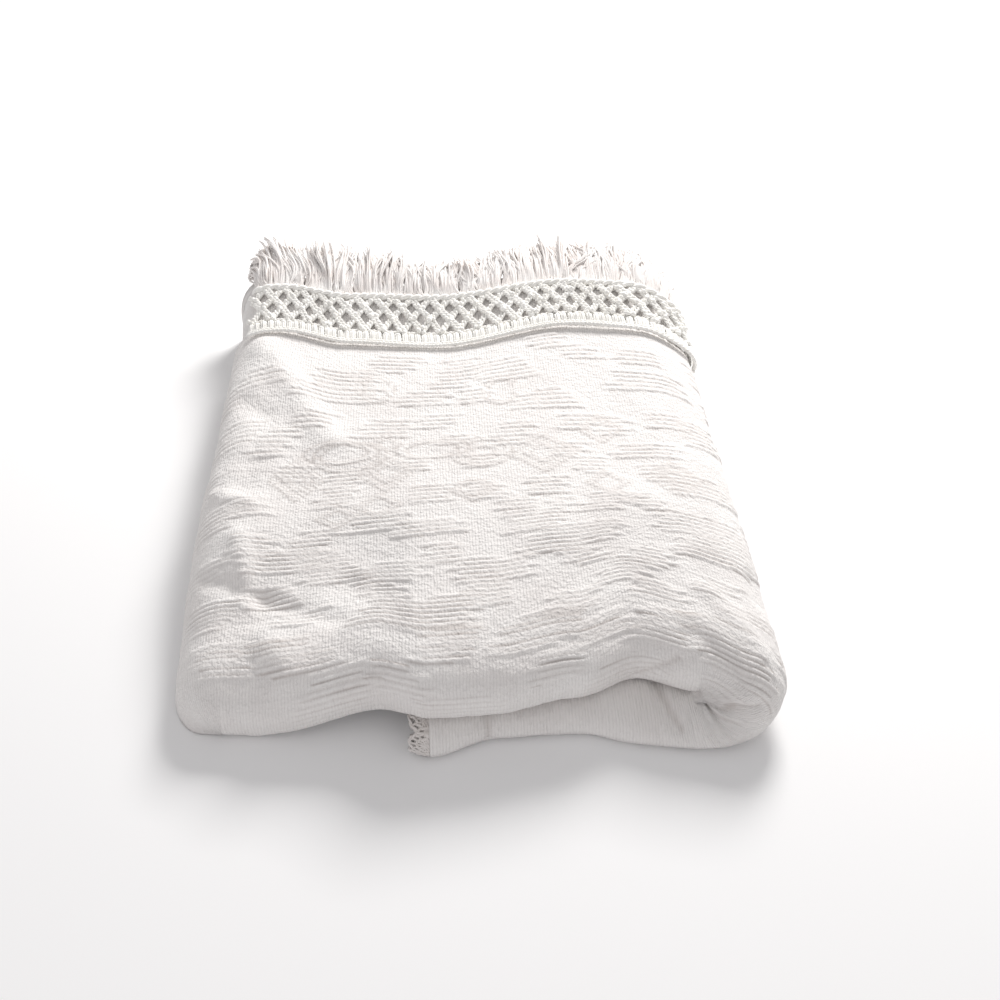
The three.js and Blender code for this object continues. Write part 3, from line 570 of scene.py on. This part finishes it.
def clothMaterial():
    look = finish["cloth"]
    material, tree, shader = newMaterial("whiteMatelasse", look)
    flat = addNode(tree, "ShaderNodeUVMap", uv_map="weave").outputs["UV"]
    axes = addNode(tree, "ShaderNodeSeparateXYZ", {"Vector": flat}).outputs
    rib = addNode(tree, "ShaderNodeAttribute", attribute_name="rib").outputs["Fac"]
    # painted shade of grooves and creases, worked out on the mesh
    paintedShade = addNode(tree, "ShaderNodeAttribute", attribute_name="paintedShade").outputs["Fac"]

    def calc(operation, *values):
        return addNode(tree, "ShaderNodeMath", dict(enumerate(values)), operation=operation).outputs[0]

    # vertical cords with narrow grooves, each with its own run of small stitches
    straight = calc("MULTIPLY", axes["X"], 1 / (metres * cloth["cordPitch"]))
    bent = calc("MULTIPLY_ADD", addNoise(tree, flat, look["wanderScale"], 2), look["cordWander"], straight)
    number = calc("FLOOR", bent)
    phase = addNode(tree, "ShaderNodeTexWhiteNoise", {"W": number}, noise_dimensions="1D").outputs["Value"]
    wave = calc("SINE", calc("MULTIPLY", calc("SUBTRACT", bent, number), math.pi))
    cord = calc("POWER", wave, look["cordRound"])
    place = calc("ADD", calc("MULTIPLY", axes["Y"], 1 / (metres * cloth["stitchPitch"])), phase)
    wave = calc("SINE", calc("MULTIPLY", place, 2 * math.pi))
    stitch = calc("MULTIPLY_ADD", wave, look["stitchShare"], 1 - look["stitchShare"])
    # uneven grain over all of it, and less of the cords on the ribs
    grain = addNoise(tree, flat, look["grainScale"], 3)
    span = dict(enumerate((grain, *look["grainFrom"], *look["grainTo"])))
    uneven = addNode(tree, "ShaderNodeMapRange", span).outputs[0]
    ground = calc("MULTIPLY_ADD", rib, -look["ribCover"], 1.0)
    raised = calc("MULTIPLY", calc("MULTIPLY", cord, stitch), calc("MULTIPLY", ground, look["cordShare"]))
    height = calc("ADD", raised, uneven)
    # painted shade between the cords and in the grooves and creases, and darker where the grain is low
    between = calc("MULTIPLY", calc("SUBTRACT", 1.0, cord), ground)
    between = calc("MULTIPLY", between, calc("MULTIPLY", uneven, look["cordShadeShare"]))
    grainAndCordShade = calc("MULTIPLY_ADD", calc("SUBTRACT", 1.0, uneven), look["grainDark"], between)
    shadeAndGrain = calc("MULTIPLY_ADD", paintedShade, look["grooveShadeShare"], grainAndCordShade)
    tone = washedTone(tree, flat, look, look["toneScale"])
    shade = addNode(tree, "ShaderNodeMixRGB", {"Fac": shadeAndGrain, "Color1": tone, "Color2": (*look["paintedShade"], 1)})
    tree.links.new(shade.outputs["Color"], shader.inputs["Base Color"])
    fibre = addNoise(tree, flat, look["fibreScale"], look["fibreDetail"])
    fuzz = addBump(tree, fibre, finish["fibreDepth"], look["fibreBump"])
    bump = addBump(tree, height, look["cordDepth"], look["cordBump"], Normal=fuzz)
    tree.links.new(bump, shader.inputs["Normal"])
    return material


def yarnMaterial(name, look):
    material, tree, shader = newMaterial(name, look)
    yarn = finish["yarn"]
    place = addNode(tree, "ShaderNodeTexCoord").outputs["Object"]
    tree.links.new(washedTone(tree, place, look, yarn["toneScale"]), shader.inputs["Base Color"])
    fibre = addNoise(tree, place, yarn["fibreScale"], yarn["fibreDetail"])
    bump = addBump(tree, fibre, finish["fibreDepth"], yarn["fibreBump"])
    tree.links.new(bump, shader.inputs["Normal"])
    return material


points, faces, flat, rib, paintedShade = clothMesh()
clothPiece = addObject("foldedCloth", points, faces, clothMaterial(), "folded_cloth")
mesh = clothPiece.data
corners = np.zeros(len(mesh.loops), int)
mesh.loops.foreach_get("vertex_index", corners)
weave = mesh.uv_layers.new(name="weave")
weave.data.foreach_set("uv", (flat[corners] * metres).astype(np.float32).ravel())
mesh.attributes.new("rib", "FLOAT", "POINT").data.foreach_set("value", rib.astype(np.float32))
# painted shade of grooves and creases, for the material
mesh.attributes.new("paintedShade", "FLOAT", "POINT").data.foreach_set("value", paintedShade.astype(np.float32))

# How the bands of the trim lie on the pack, in millimetres and degrees
trim = {
    "headingWidth": 18, "gap": 0.3, "latticeWidth": 43, "stripGap": 0.8, "cellPitch": 15.8,
    "rise": 9, "slope": 0.2,  # up to the fringe's roots, and beyond them
    "leftAngle": 30, "rightAngle": 100, "turnSteps": 51,  # how far it bends down at its ends
}
leftArc = math.radians(trim["leftAngle"]) * (pack["shoulderGap"] + pack["upperDepth"])
topLength = turnX - shoulderX
rightArc = math.radians(trim["rightAngle"]) * turnReach * (1 + pack["turnStretch"]) / 2
trimLength = leftArc + topLength + rightArc
latticeStart = trim["headingWidth"] + trim["gap"]
stripStart = latticeStart + trim["latticeWidth"] + trim["stripGap"]
# Length of the trim around the flattened turn, by angle
turnAngles = np.linspace(0, trim["rightAngle"], trim["turnSteps"])
turnSteps = np.hypot(pack["turnStretch"] * np.cos(np.radians(turnAngles)), np.sin(np.radians(turnAngles)))
turnArcs = np.concatenate([[0], np.cumsum((turnSteps[1:] + turnSteps[:-1]) / 2)])
turnArcs *= rightArc / turnArcs[-1]


def trimPoint(flatPoints):
    # from distance along the trim, distance past its seam and height to the place on the pack
    distance, past, height = np.moveaxis(np.asarray(flatPoints, float), -1, 0)
    onTop = distance - leftArc
    zone = np.where(onTop < 0, shoulder, np.where(onTop < topLength, upper, turn))
    place = np.select([zone == shoulder, zone == upper], [
        trim["leftAngle"] * (1 - distance / leftArc), shoulderX + onTop,
    ], np.interp(onTop - topLength, turnArcs, turnAngles))
    level = np.where(zone == upper, 1.0, np.maximum(0, np.cos(np.radians(place))))
    depth = mix(pack["upperDepth"], pack["underDepth"], turnShare(zone, place))
    point = columnPoint(zone, place, pack["seamY"] + past, depth, height)
    beyond = np.maximum(0, past - stripStart)
    share = np.maximum(past - beyond, 0) / stripStart
    point[..., 2] += level * (trim["rise"] * share ** 2 + trim["slope"] * beyond)
    return point


def straightLine(start, end, past, height, count):
    return np.stack([np.linspace(start, end, count), np.full(count, past), np.full(count, height)], -1)


class Yarns:
    # gathers yarns built flat, as distance along the trim, distance past its seam and height
    plySpread = 0.8  # distance of a ply from the middle of its cord, by the ply's radius
    wrapDepth, wrapSlant = 0.09, (2.2, 0.5)  # grooves that make a knot look wound

    def __init__(self):
        self.points, self.faces, self.count = [], [], 0

    def add(self, points, a, b, c, d):
        self.points.append(points.reshape(-1, 3))
        self.faces.append(np.stack([a, b, c, d], -1).reshape(-1, 4) + self.count)
        self.count += len(self.points[-1])

    def tube(self, path, radius, sides=6):
        along = unit(np.gradient(path, axis=0))
        steep = np.abs(along[:, 2:3]) > 0.9
        side = unit(np.cross(along, np.where(steep, [[0.0, 1.0, 0.0]], [[0.0, 0.0, 1.0]])))
        over = np.cross(side, along)
        angle = np.arange(sides) * 2 * np.pi / sides
        reach = np.broadcast_to(np.asarray(radius, float), (len(path),))[:, None, None]
        ring = side[:, None] * np.cos(angle)[None, :, None] + over[:, None] * np.sin(angle)[None, :, None]
        index = np.arange(len(path) * sides).reshape(len(path), sides)
        after = np.roll(index, -1, axis=1)
        self.add(path[:, None] + reach * ring, index[:-1], after[:-1], after[1:], index[1:])

    def twisted(self, path, radius, turns, sides=5, phase=0.0):
        along = unit(np.gradient(path, axis=0))
        side = unit(np.cross(along, [0.0, 0.0, 1.0]))
        over = np.cross(side, along)
        share = np.linspace(0, 1, len(path))
        for ply in (0, 0.5):
            angle = phase + 2 * np.pi * (turns * share + ply)
            around = np.cos(angle)[:, None] * side + np.sin(angle)[:, None] * over
            self.tube(path + self.plySpread * radius * around, radius, sides)

    def ball(self, middle, radii, wraps=0, turn=0.0, across=7, around=9):
        angles = np.linspace(0, np.pi, across), np.arange(around) * 2 * np.pi / around
        lift, spin = np.meshgrid(*angles, indexing="ij")
        local = np.stack([np.sin(lift) * np.cos(spin), np.sin(lift) * np.sin(spin), np.cos(lift)], -1)
        wound = local[..., :1] * self.wrapSlant[0] + self.wrapSlant[1] * local[..., 1:2]
        local = local * (1 + self.wrapDepth * np.cos(wraps * wound)) * np.asarray(radii, float)
        cosine, sine = math.cos(turn), math.sin(turn)
        x, y, z = np.moveaxis(local, -1, 0)
        points = np.stack([x * cosine - y * sine, x * sine + y * cosine, z], -1) + np.asarray(middle, float)
        index = np.arange(across * around).reshape(across, around)
        after = np.roll(index, -1, axis=1)
        self.add(points, index[:-1], index[1:], after[1:], after[:-1])

    def make(self, name, material, node, place=trimPoint):
        flatPoints, faces = np.concatenate(self.points), np.concatenate(self.faces).tolist()
        return addObject(name, place(flatPoints), faces, material, node)


spread = np.random.default_rng(20240611)
trimLook = yarnMaterial("trimYarn", finish["trim"])
fringeLook = yarnMaterial("fringeYarn", finish["fringe"])
# darker colours paint the shade that the side trim lies in
shadedSideLook = yarnMaterial("sideYarnShaded", finish["side"])

# What a user would change of the heading, in millimetres; the spreads are how much it varies
heading = {
    "cords": ((0.5, 3.9, 6.5), (3.9, 3.4, 7.0)),  # distance past the seam, height, length of one twist
    "cordRadius": 0.92, "cordStep": 1.3, "cordInset": 0.6,
    "wrapsPerCell": 3, "wrapPoints": 11, "wrapMiddle": 11.4, "wrapReach": 5.6, "wrapBase": 0.7,
    "wrapHeight": 2.7, "wrapRadius": 1.0, "wrapSkew": 0.25, "wrapTaper": 0.4,
    "wrapLean": 1.8, "wrapRound": 0.8,
    "wrapYarns": ((-1.5, 0.8), (0, 1.0), (1.5, 0.8)),  # distance aside, share of the height
    "placeSpread": 0.25, "sizeSpread": 0.08, "heightSpread": 0.25, "radiusSpread": 0.06, "beadSpread": 0.3,
    "beadPast": 15.0, "beadHeight": 2.3, "beadRadii": (2.2, 2.1, 1.7),
    "corePast": 11.0, "coreHeight": 1.4, "coreRadius": 1.2, "coreInset": 0.3, "corePoints": 120,
}


def makeHeading():
    # two twisted cords along the seam, then short wraps over a core, with a bead on each
    yarns = Yarns()
    count, inset = int(trimLength / heading["cordStep"]), heading["cordInset"]
    for past, height, lay in heading["cords"]:
        line = straightLine(inset, trimLength - inset, past, height, count)
        yarns.twisted(line, heading["cordRadius"], trimLength / lay, sides=6)
    wraps = round(trimLength / trim["cellPitch"] * heading["wrapsPerCell"])
    arch = np.linspace(0, np.pi, heading["wrapPoints"])
    arched = np.sin(np.pi * (arch / np.pi) ** heading["wrapLean"]) ** heading["wrapRound"]
    for k in range(wraps):
        middle = (k + 0.5) * trimLength / wraps + spread.normal(0, heading["placeSpread"])
        reach = heading["wrapReach"] * (1 + spread.normal(0, heading["sizeSpread"]))
        tall = heading["wrapHeight"] + spread.normal(0, heading["heightSpread"])
        for aside, share in heading["wrapYarns"]:
            yarn = np.stack([
                middle + aside + heading["wrapSkew"] * np.cos(arch),
                heading["wrapMiddle"] - (reach - heading["wrapTaper"] * abs(aside)) * np.cos(arch),
                heading["wrapBase"] + share * tall * arched,
            ], -1)
            yarns.tube(yarn, heading["wrapRadius"] * (1 + spread.normal(0, heading["radiusSpread"])))
        bead = (middle, heading["beadPast"] + spread.normal(0, heading["beadSpread"]), heading["beadHeight"])
        radii = np.array(heading["beadRadii"]) * (1 + spread.normal(0, heading["sizeSpread"]))
        yarns.ball(bead, radii, around=10)
    inset, past, height = heading["coreInset"], heading["corePast"], heading["coreHeight"]
    core = straightLine(inset, trimLength - inset, past, height, heading["corePoints"])
    yarns.tube(core, heading["coreRadius"])
    return yarns.make("trimHeading", trimLook, "trim_heading")


# What a user would change of the lattice, in millimetres and radians; sizes are shares of the knots' radius
lattice = {
    "rows": (2.3, 17.1, 29.3, 40.7),  # where the strands cross, counted from the heading
    "inset": 2.3, "height": 1.3, "yarnRadius": 1.1, "pairGap": 3.1, "pairTilt": 0.3, "arch": 0.5,
    "leans": ((1, 0.2, 0.92), (-1, 0.8, 1.05)),  # way the strands lean, rise, share of the yarn's radius
    "twists": 2.2, "spin": 6.28, "strandSteps": 12, "placeSpread": 0.5, "radiusSpread": 0.06,
    "knotRadius": 3.9, "knotHeight": 2.2, "knotReach": 0.6, "knotSizes": (0.56, 0.5, 0.46), "knotSpread": 0.1,
    "beadTurn": 2.1, "beadRise": 0.25, "beadSpin": 3.1, "flatSpread": (1, 1, 0.4), "wraps": 3,
    "tuftSizes": (0.46, 0.42, 0.38), "tuftPast": 6.1, "tuftDrop": 0.4,
    # ropes: row, distance past it, height, radius, length of one twist
    "ropes": ((0, -1, 0, 0.9, 7), (-1, 0, 1.6, 1.55, 15)), "ropeStep": 1.4, "ropeInset": 0.4,
}


def makeLattice():
    # pairs of cords leaning both ways, clusters of three beads where they cross, and a rope along each side
    yarns = Yarns()
    inset, lift, size = lattice["inset"], lattice["height"], lattice["knotRadius"]
    rows = np.array(lattice["rows"])
    cells = round((trimLength - 2 * inset) / trim["cellPitch"])
    pitch = (trimLength - 2 * inset) / cells
    last, slack = len(rows) - 1, 0.01
    for lean, rise, stout in lattice["leans"]:
        for k in range(-last, cells + last + 1):
            steps = k + lean * 0.5 * np.arange(last + 1)
            knots = np.flatnonzero((steps >= -slack) & (steps <= cells + slack))
            spans = len(knots) - 1
            if spans < 1:
                continue
            places = inset + steps[knots] * pitch, latticeStart + rows[knots], np.full(len(knots), lift)
            spots = np.stack(places, -1)
            spots[:, :2] += spread.normal(0, lattice["placeSpread"], (len(knots), 2))
            share = np.linspace(0, spans, lattice["strandSteps"] * spans + 1)
            path = np.stack([np.interp(share, np.arange(len(knots)), axis) for axis in spots.T], -1)
            path[:, 2] += rise + lattice["arch"] * np.abs(np.sin(np.pi * share))
            for side in (-0.5, 0.5):
                pair = path + np.array([lattice["pairGap"], 0, lattice["pairTilt"]]) * side
                radius = stout * lattice["yarnRadius"] * (1 + spread.normal(0, lattice["radiusSpread"]))
                turns, phase = lattice["twists"] * spans, spread.uniform(0, lattice["spin"])
                yarns.twisted(pair, radius, turns, phase=phase)
    for row in range(last):
        for step in np.arange(cells + 1 - row % 2) + 0.5 * (row % 2):
            middle = np.array([inset + step * pitch, latticeStart + rows[row], lift + lattice["knotHeight"]])
            middle += spread.normal(0, lattice["placeSpread"], 3) * lattice["flatSpread"]
            start = spread.uniform(0, lattice["beadTurn"])
            for bead in range(3):
                angle = start + bead * lattice["beadTurn"]
                aside = math.cos(angle), math.sin(angle), lattice["beadRise"] * spread.normal()
                radii = size * (1 + spread.normal(0, lattice["knotSpread"])) * np.array(lattice["knotSizes"])
                yarns.ball(middle + lattice["knotReach"] * size * np.array(aside), radii, lattice["wraps"],
                           turn=spread.uniform(0, lattice["beadSpin"]))
            if row == 0:
                continue
            for side in (-1, 1):
                spot = middle + (side * pitch / 4, lattice["tuftPast"], -lattice["tuftDrop"])
                spot = spot + spread.normal(0, lattice["placeSpread"], 3)
                yarns.ball(spot, size * np.array(lattice["tuftSizes"]), lattice["wraps"], turn=-side)
    count, inset = int(trimLength / lattice["ropeStep"]), lattice["ropeInset"]
    for row, past, height, radius, lay in lattice["ropes"]:
        line = straightLine(inset, trimLength - inset, latticeStart + rows[row] + past, lift + height, count)
        yarns.twisted(line, radius, trimLength / lay, sides=6)
    return yarns.make("trimLattice", trimLook, "trim_lattice")


# What a user would change of the fringe, in millimetres; pairs of numbers are the ends of a range
fringe = {
    "yarns": 2240, "perLock": 14, "radius": 0.9, "thickness": (0.88, 1.12), "inset": 1.5, "rootPast": 1.5,
    # share of the trim's length, yarn length and sideways lean
    "outline": np.array([
        (0, 42, -13), (0.06, 58, -8), (0.16, 62, -4), (0.3, 53, 2), (0.42, 39, -2), (0.52, 44, 3),
        (0.62, 54, -3), (0.74, 56, 2), (0.88, 47, 5), (1, 34, 8),
    ], float),
    "lockLean": 2.6, "lockSway": 2.6, "lockWave": (1.2, 2.6), "lockSplay": (-0.08, 0.06), "lockCurl": 2.0,
    "lockLength": (0.8, 1.06),
    "yarnPlace": (0.1, 0.9), "yarnLength": (0.86, 1.04), "yarnLean": 2.4, "yarnSway": 1.0, "yarnCurl": 1.2,
    "yarnSplay": 0.035,
    # two yarns of every five lie lower and straighter
    "every": 5, "lowSplay": (-0.02, -0.16), "lowSpread": 0.03, "lowCurl": 0.3, "lowLength": 0.94,
    "calm": 0.7, "calmAt": (0.76, 0.9),  # straighter towards the right end
    "height": 0.6, "arch": 3.2, "ripple": 0.8, "phase": 0.4, "curlLoss": 0.04 / 3,
    "points": 9, "tip": 1.012, "endSizes": (0.85, 0.05),  # the cut end is blunt and closed
    "cordPast": 1.7, "cordHeight": 0.5, "cordRadius": 1.0, "cordLay": 6, "cordStep": 1.4, "cordInset": 0.4,
}


def makeFringe():
    # wavy cut yarns, those of a lock leaning and curling much alike, on a cord
    yarns = Yarns()
    s = np.append(np.linspace(0, 1, fringe["points"]), fringe["tip"])  # share of the yarn's length
    blunt = np.append(np.ones(fringe["points"] - 1), fringe["endSizes"])
    for k in range(fringe["yarns"]):
        if k % fringe["perLock"] == 0:
            lockLean, lockSway = spread.normal(0, fringe["lockLean"]), spread.normal(0, fringe["lockSway"])
            lockWave, lockSplay = spread.uniform(*fringe["lockWave"]), spread.uniform(*fringe["lockSplay"])
            lockCurl, lockLength = spread.normal(0, fringe["lockCurl"]), spread.uniform(*fringe["lockLength"])
        share = (k + spread.uniform(*fringe["yarnPlace"])) / fringe["yarns"]
        root = mix(fringe["inset"], trimLength - fringe["inset"], share)
        length = readTable(fringe["outline"], share, 1) * lockLength * spread.uniform(*fringe["yarnLength"])
        lean = readTable(fringe["outline"], share, 2) + lockLean + spread.normal(0, fringe["yarnLean"])
        sway = lockSway + spread.normal(0, fringe["yarnSway"])
        curl = lockCurl + spread.normal(0, fringe["yarnCurl"])
        splay = lockSplay + spread.normal(0, fringe["yarnSplay"])
        phase = fringe["phase"] * spread.normal()
        low = k % fringe["every"]
        if low < len(fringe["lowSplay"]):
            splay = fringe["lowSplay"][low] + spread.normal(0, fringe["lowSpread"])
            lean, curl = lean - lockLean, fringe["lowCurl"] * curl
            length = length / lockLength * fringe["lowLength"]
        calm = 1 - fringe["calm"] * smooth(share, *fringe["calmAt"])
        lean, splay, curl = lean * calm, splay * calm, curl * calm
        ripple = fringe["ripple"] * np.sin(np.pi * s * 2 + sway) + fringe["arch"] * np.sin(np.pi * s)
        path = np.stack([
            root + lean * s ** 2 + sway * (np.sin(np.pi * s * lockWave + phase) - math.sin(phase)),
            stripStart + fringe["rootPast"] + length * s * (1 - fringe["curlLoss"] * abs(curl) * s),
            fringe["height"] + length * splay * s + curl * s ** 2 + ripple,
        ], -1)
        thick = fringe["radius"] * blunt * spread.uniform(*fringe["thickness"])
        yarns.tube(path, thick, 4)
    count, inset = int(trimLength / fringe["cordStep"]), fringe["cordInset"]
    past, height = stripStart + fringe["cordPast"], fringe["cordHeight"]
    line = straightLine(inset, trimLength - inset, past, height, count)
    yarns.twisted(line, fringe["cordRadius"], trimLength / fringe["cordLay"])
    return yarns.make("trimFringe", fringeLook, "trim_fringe")


# What a user would change of the side trim, in millimetres and radians
sideTrim = {
    "width": 14, "pitch": 12, "reach": 22, "inset": 1.3, "gap": -0.5, "sunk": 0.4, "height": 0.3,
    "loops": ((1.0, 0.3), (0.62, 0.5)),  # share of the scallop's size, height
    "loopRadius": 0.75, "loopTwists": 3, "loopPoints": 15, "loopRound": 0.8,
    "spokes": (0.5, 1.0, 1.57, 2.14, 2.64), "spokeRadius": 0.6, "spokeTwists": 1.5, "spokeHeight": 0.4,
    "knotRadii": (1.9, 1.7, 1.3), "knotPast": 0.4, "knotHeight": 0.6, "knotTurn": 0.4, "wraps": 4,
    "cords": (0, 1.6), "cordRadius": 0.7, "cordLay": 6, "cordPoints": 70,
}
foldLength = math.pi * math.hypot((underFold[1] + underFold[2]) / 2, pack["underDepth"] / 2) / math.sqrt(2)


def sidePoint(flatPoints):
    # from distance along the cloth's edge, distance past it and height to the place on the pack
    distance, past, height = np.moveaxis(np.asarray(flatPoints, float), -1, 0)
    turned = (distance - sideTrim["reach"]) / foldLength
    kind = np.where((turned < 0) | (turned > 1), run, bigFold)
    start = np.where(turned > 1, 0, topLevel)
    place = np.select([turned < 0, turned > 1], [
        underFold[1] + sideTrim["reach"] - distance,
        underFold[2] + distance - sideTrim["reach"] - foldLength,
    ], np.pi * np.clip(turned, 0, 1))
    y, level, normalY, normalUp = pathPoint(kind, start, np.where(kind == run, start, 0), place, underFold)
    offset, past = height - sideTrim["sunk"], past + sideTrim["gap"]
    return columnPoint(edge, np.ones_like(y), y + offset * normalY, level, offset * normalUp, past)


def makeSideTrim():
    # scallops on two cords along the cloth's edge, each with an inner loop and spokes, and knots between them
    yarns = Yarns()
    length, inset, lift = foldLength + 2 * sideTrim["reach"], sideTrim["inset"], sideTrim["height"]
    scallops = round(length / sideTrim["pitch"])
    pitch, depth = length / scallops, sideTrim["width"] - 2 * inset
    arc = np.linspace(0, np.pi, sideTrim["loopPoints"])
    for i in range(scallops):
        middle = (i + 0.5) * pitch
        for shrink, height in sideTrim["loops"]:
            loop = np.stack([
                middle - 0.5 * shrink * pitch * np.cos(arc),
                inset + shrink * depth * np.sin(arc) ** sideTrim["loopRound"], np.full(len(arc), height),
            ], -1)
            yarns.twisted(loop, sideTrim["loopRadius"], sideTrim["loopTwists"])
        for angle in sideTrim["spokes"]:
            past = inset + depth * math.sin(angle) ** sideTrim["loopRound"]
            end = (middle - 0.5 * pitch * math.cos(angle), past, lift)
            spoke = np.linspace((middle, inset, sideTrim["spokeHeight"]), end, 7)
            yarns.twisted(spoke, sideTrim["spokeRadius"], sideTrim["spokeTwists"])
        knot = (i * pitch, inset + sideTrim["knotPast"], sideTrim["knotHeight"])
        yarns.ball(knot, sideTrim["knotRadii"], sideTrim["wraps"], turn=sideTrim["knotTurn"] * i, around=10)
    for past in sideTrim["cords"]:
        line = straightLine(0, length, inset + past, lift, sideTrim["cordPoints"])
        yarns.twisted(line, sideTrim["cordRadius"], length / sideTrim["cordLay"])
    return yarns.make("sideTrim", shadedSideLook, "side_trim", sidePoint)


headingPiece = makeHeading()
latticePiece = makeLattice()
fringePiece = makeFringe()
sidePiece = makeSideTrim()

# Stage: a pale floor, soft light from the back right and the photograph's viewing angle
stage = {
    "floorReach": 4, "floor": {"high": (0.95, 0.95, 0.95), "rough": 0.95, "sheen": 0.0},
    "world": 0.5, "worldColour": (1, 0.985, 0.99, 1),
    # name, place, energy, size, colour
    "lights": (
        ("key", (0.6, 1.32, 1.02), 37, 0.6, (1, 0.985, 0.972)),
        ("fill", (-0.6, -1.7, 0.5), 3.7, 1.5, (0.95, 0.93, 1)),
    ),
    "target": (0, 0, 0.04),
    "camera": (-0.01512, -0.70423, 0.5954), "pitch": 40.8, "yaw": 3.25, "lens": 43.2, "sensor": 36,
}
mesh = bpy.data.meshes.new("floor")
reach = stage["floorReach"]
mesh.from_pydata([(-reach, -reach, 0), (reach, -reach, 0), (reach, reach, 0), (-reach, reach, 0)],
                 [], [(0, 1, 2, 3)])
floor = bpy.data.objects.new("floor", mesh)
bpy.context.scene.collection.objects.link(floor)
mesh.materials.append(newMaterial("paleFloor", stage["floor"])[0])
world = bpy.data.worlds.new("studio")
world.use_nodes = True
world.node_tree.nodes["Background"].inputs["Color"].default_value = stage["worldColour"]
world.node_tree.nodes["Background"].inputs["Strength"].default_value = stage["world"]
bpy.context.scene.world = world
for name, place, energy, size, colour in stage["lights"]:
    light = bpy.data.lights.new(name, "AREA")
    light.energy, light.size, light.color = energy, size, colour
    lamp = bpy.data.objects.new(name, light)
    lamp.location = place
    lamp.rotation_euler = (Vector(stage["target"]) - Vector(place)).to_track_quat("-Z", "Y").to_euler()
    bpy.context.scene.collection.objects.link(lamp)
camera = bpy.data.cameras.new("camera")
camera.lens, camera.sensor_width = stage["lens"], stage["sensor"]
eye = bpy.data.objects.new("camera", camera)
eye.location = stage["camera"]
eye.rotation_euler = (math.radians(90 - stage["pitch"]), 0, math.radians(-stage["yaw"]))
bpy.context.scene.collection.objects.link(eye)
bpy.context.scene.camera = eye
bpy.context.scene.view_settings.view_transform = "Standard"
print(f"stage: floor, {len(stage['lights'])} lights and camera")
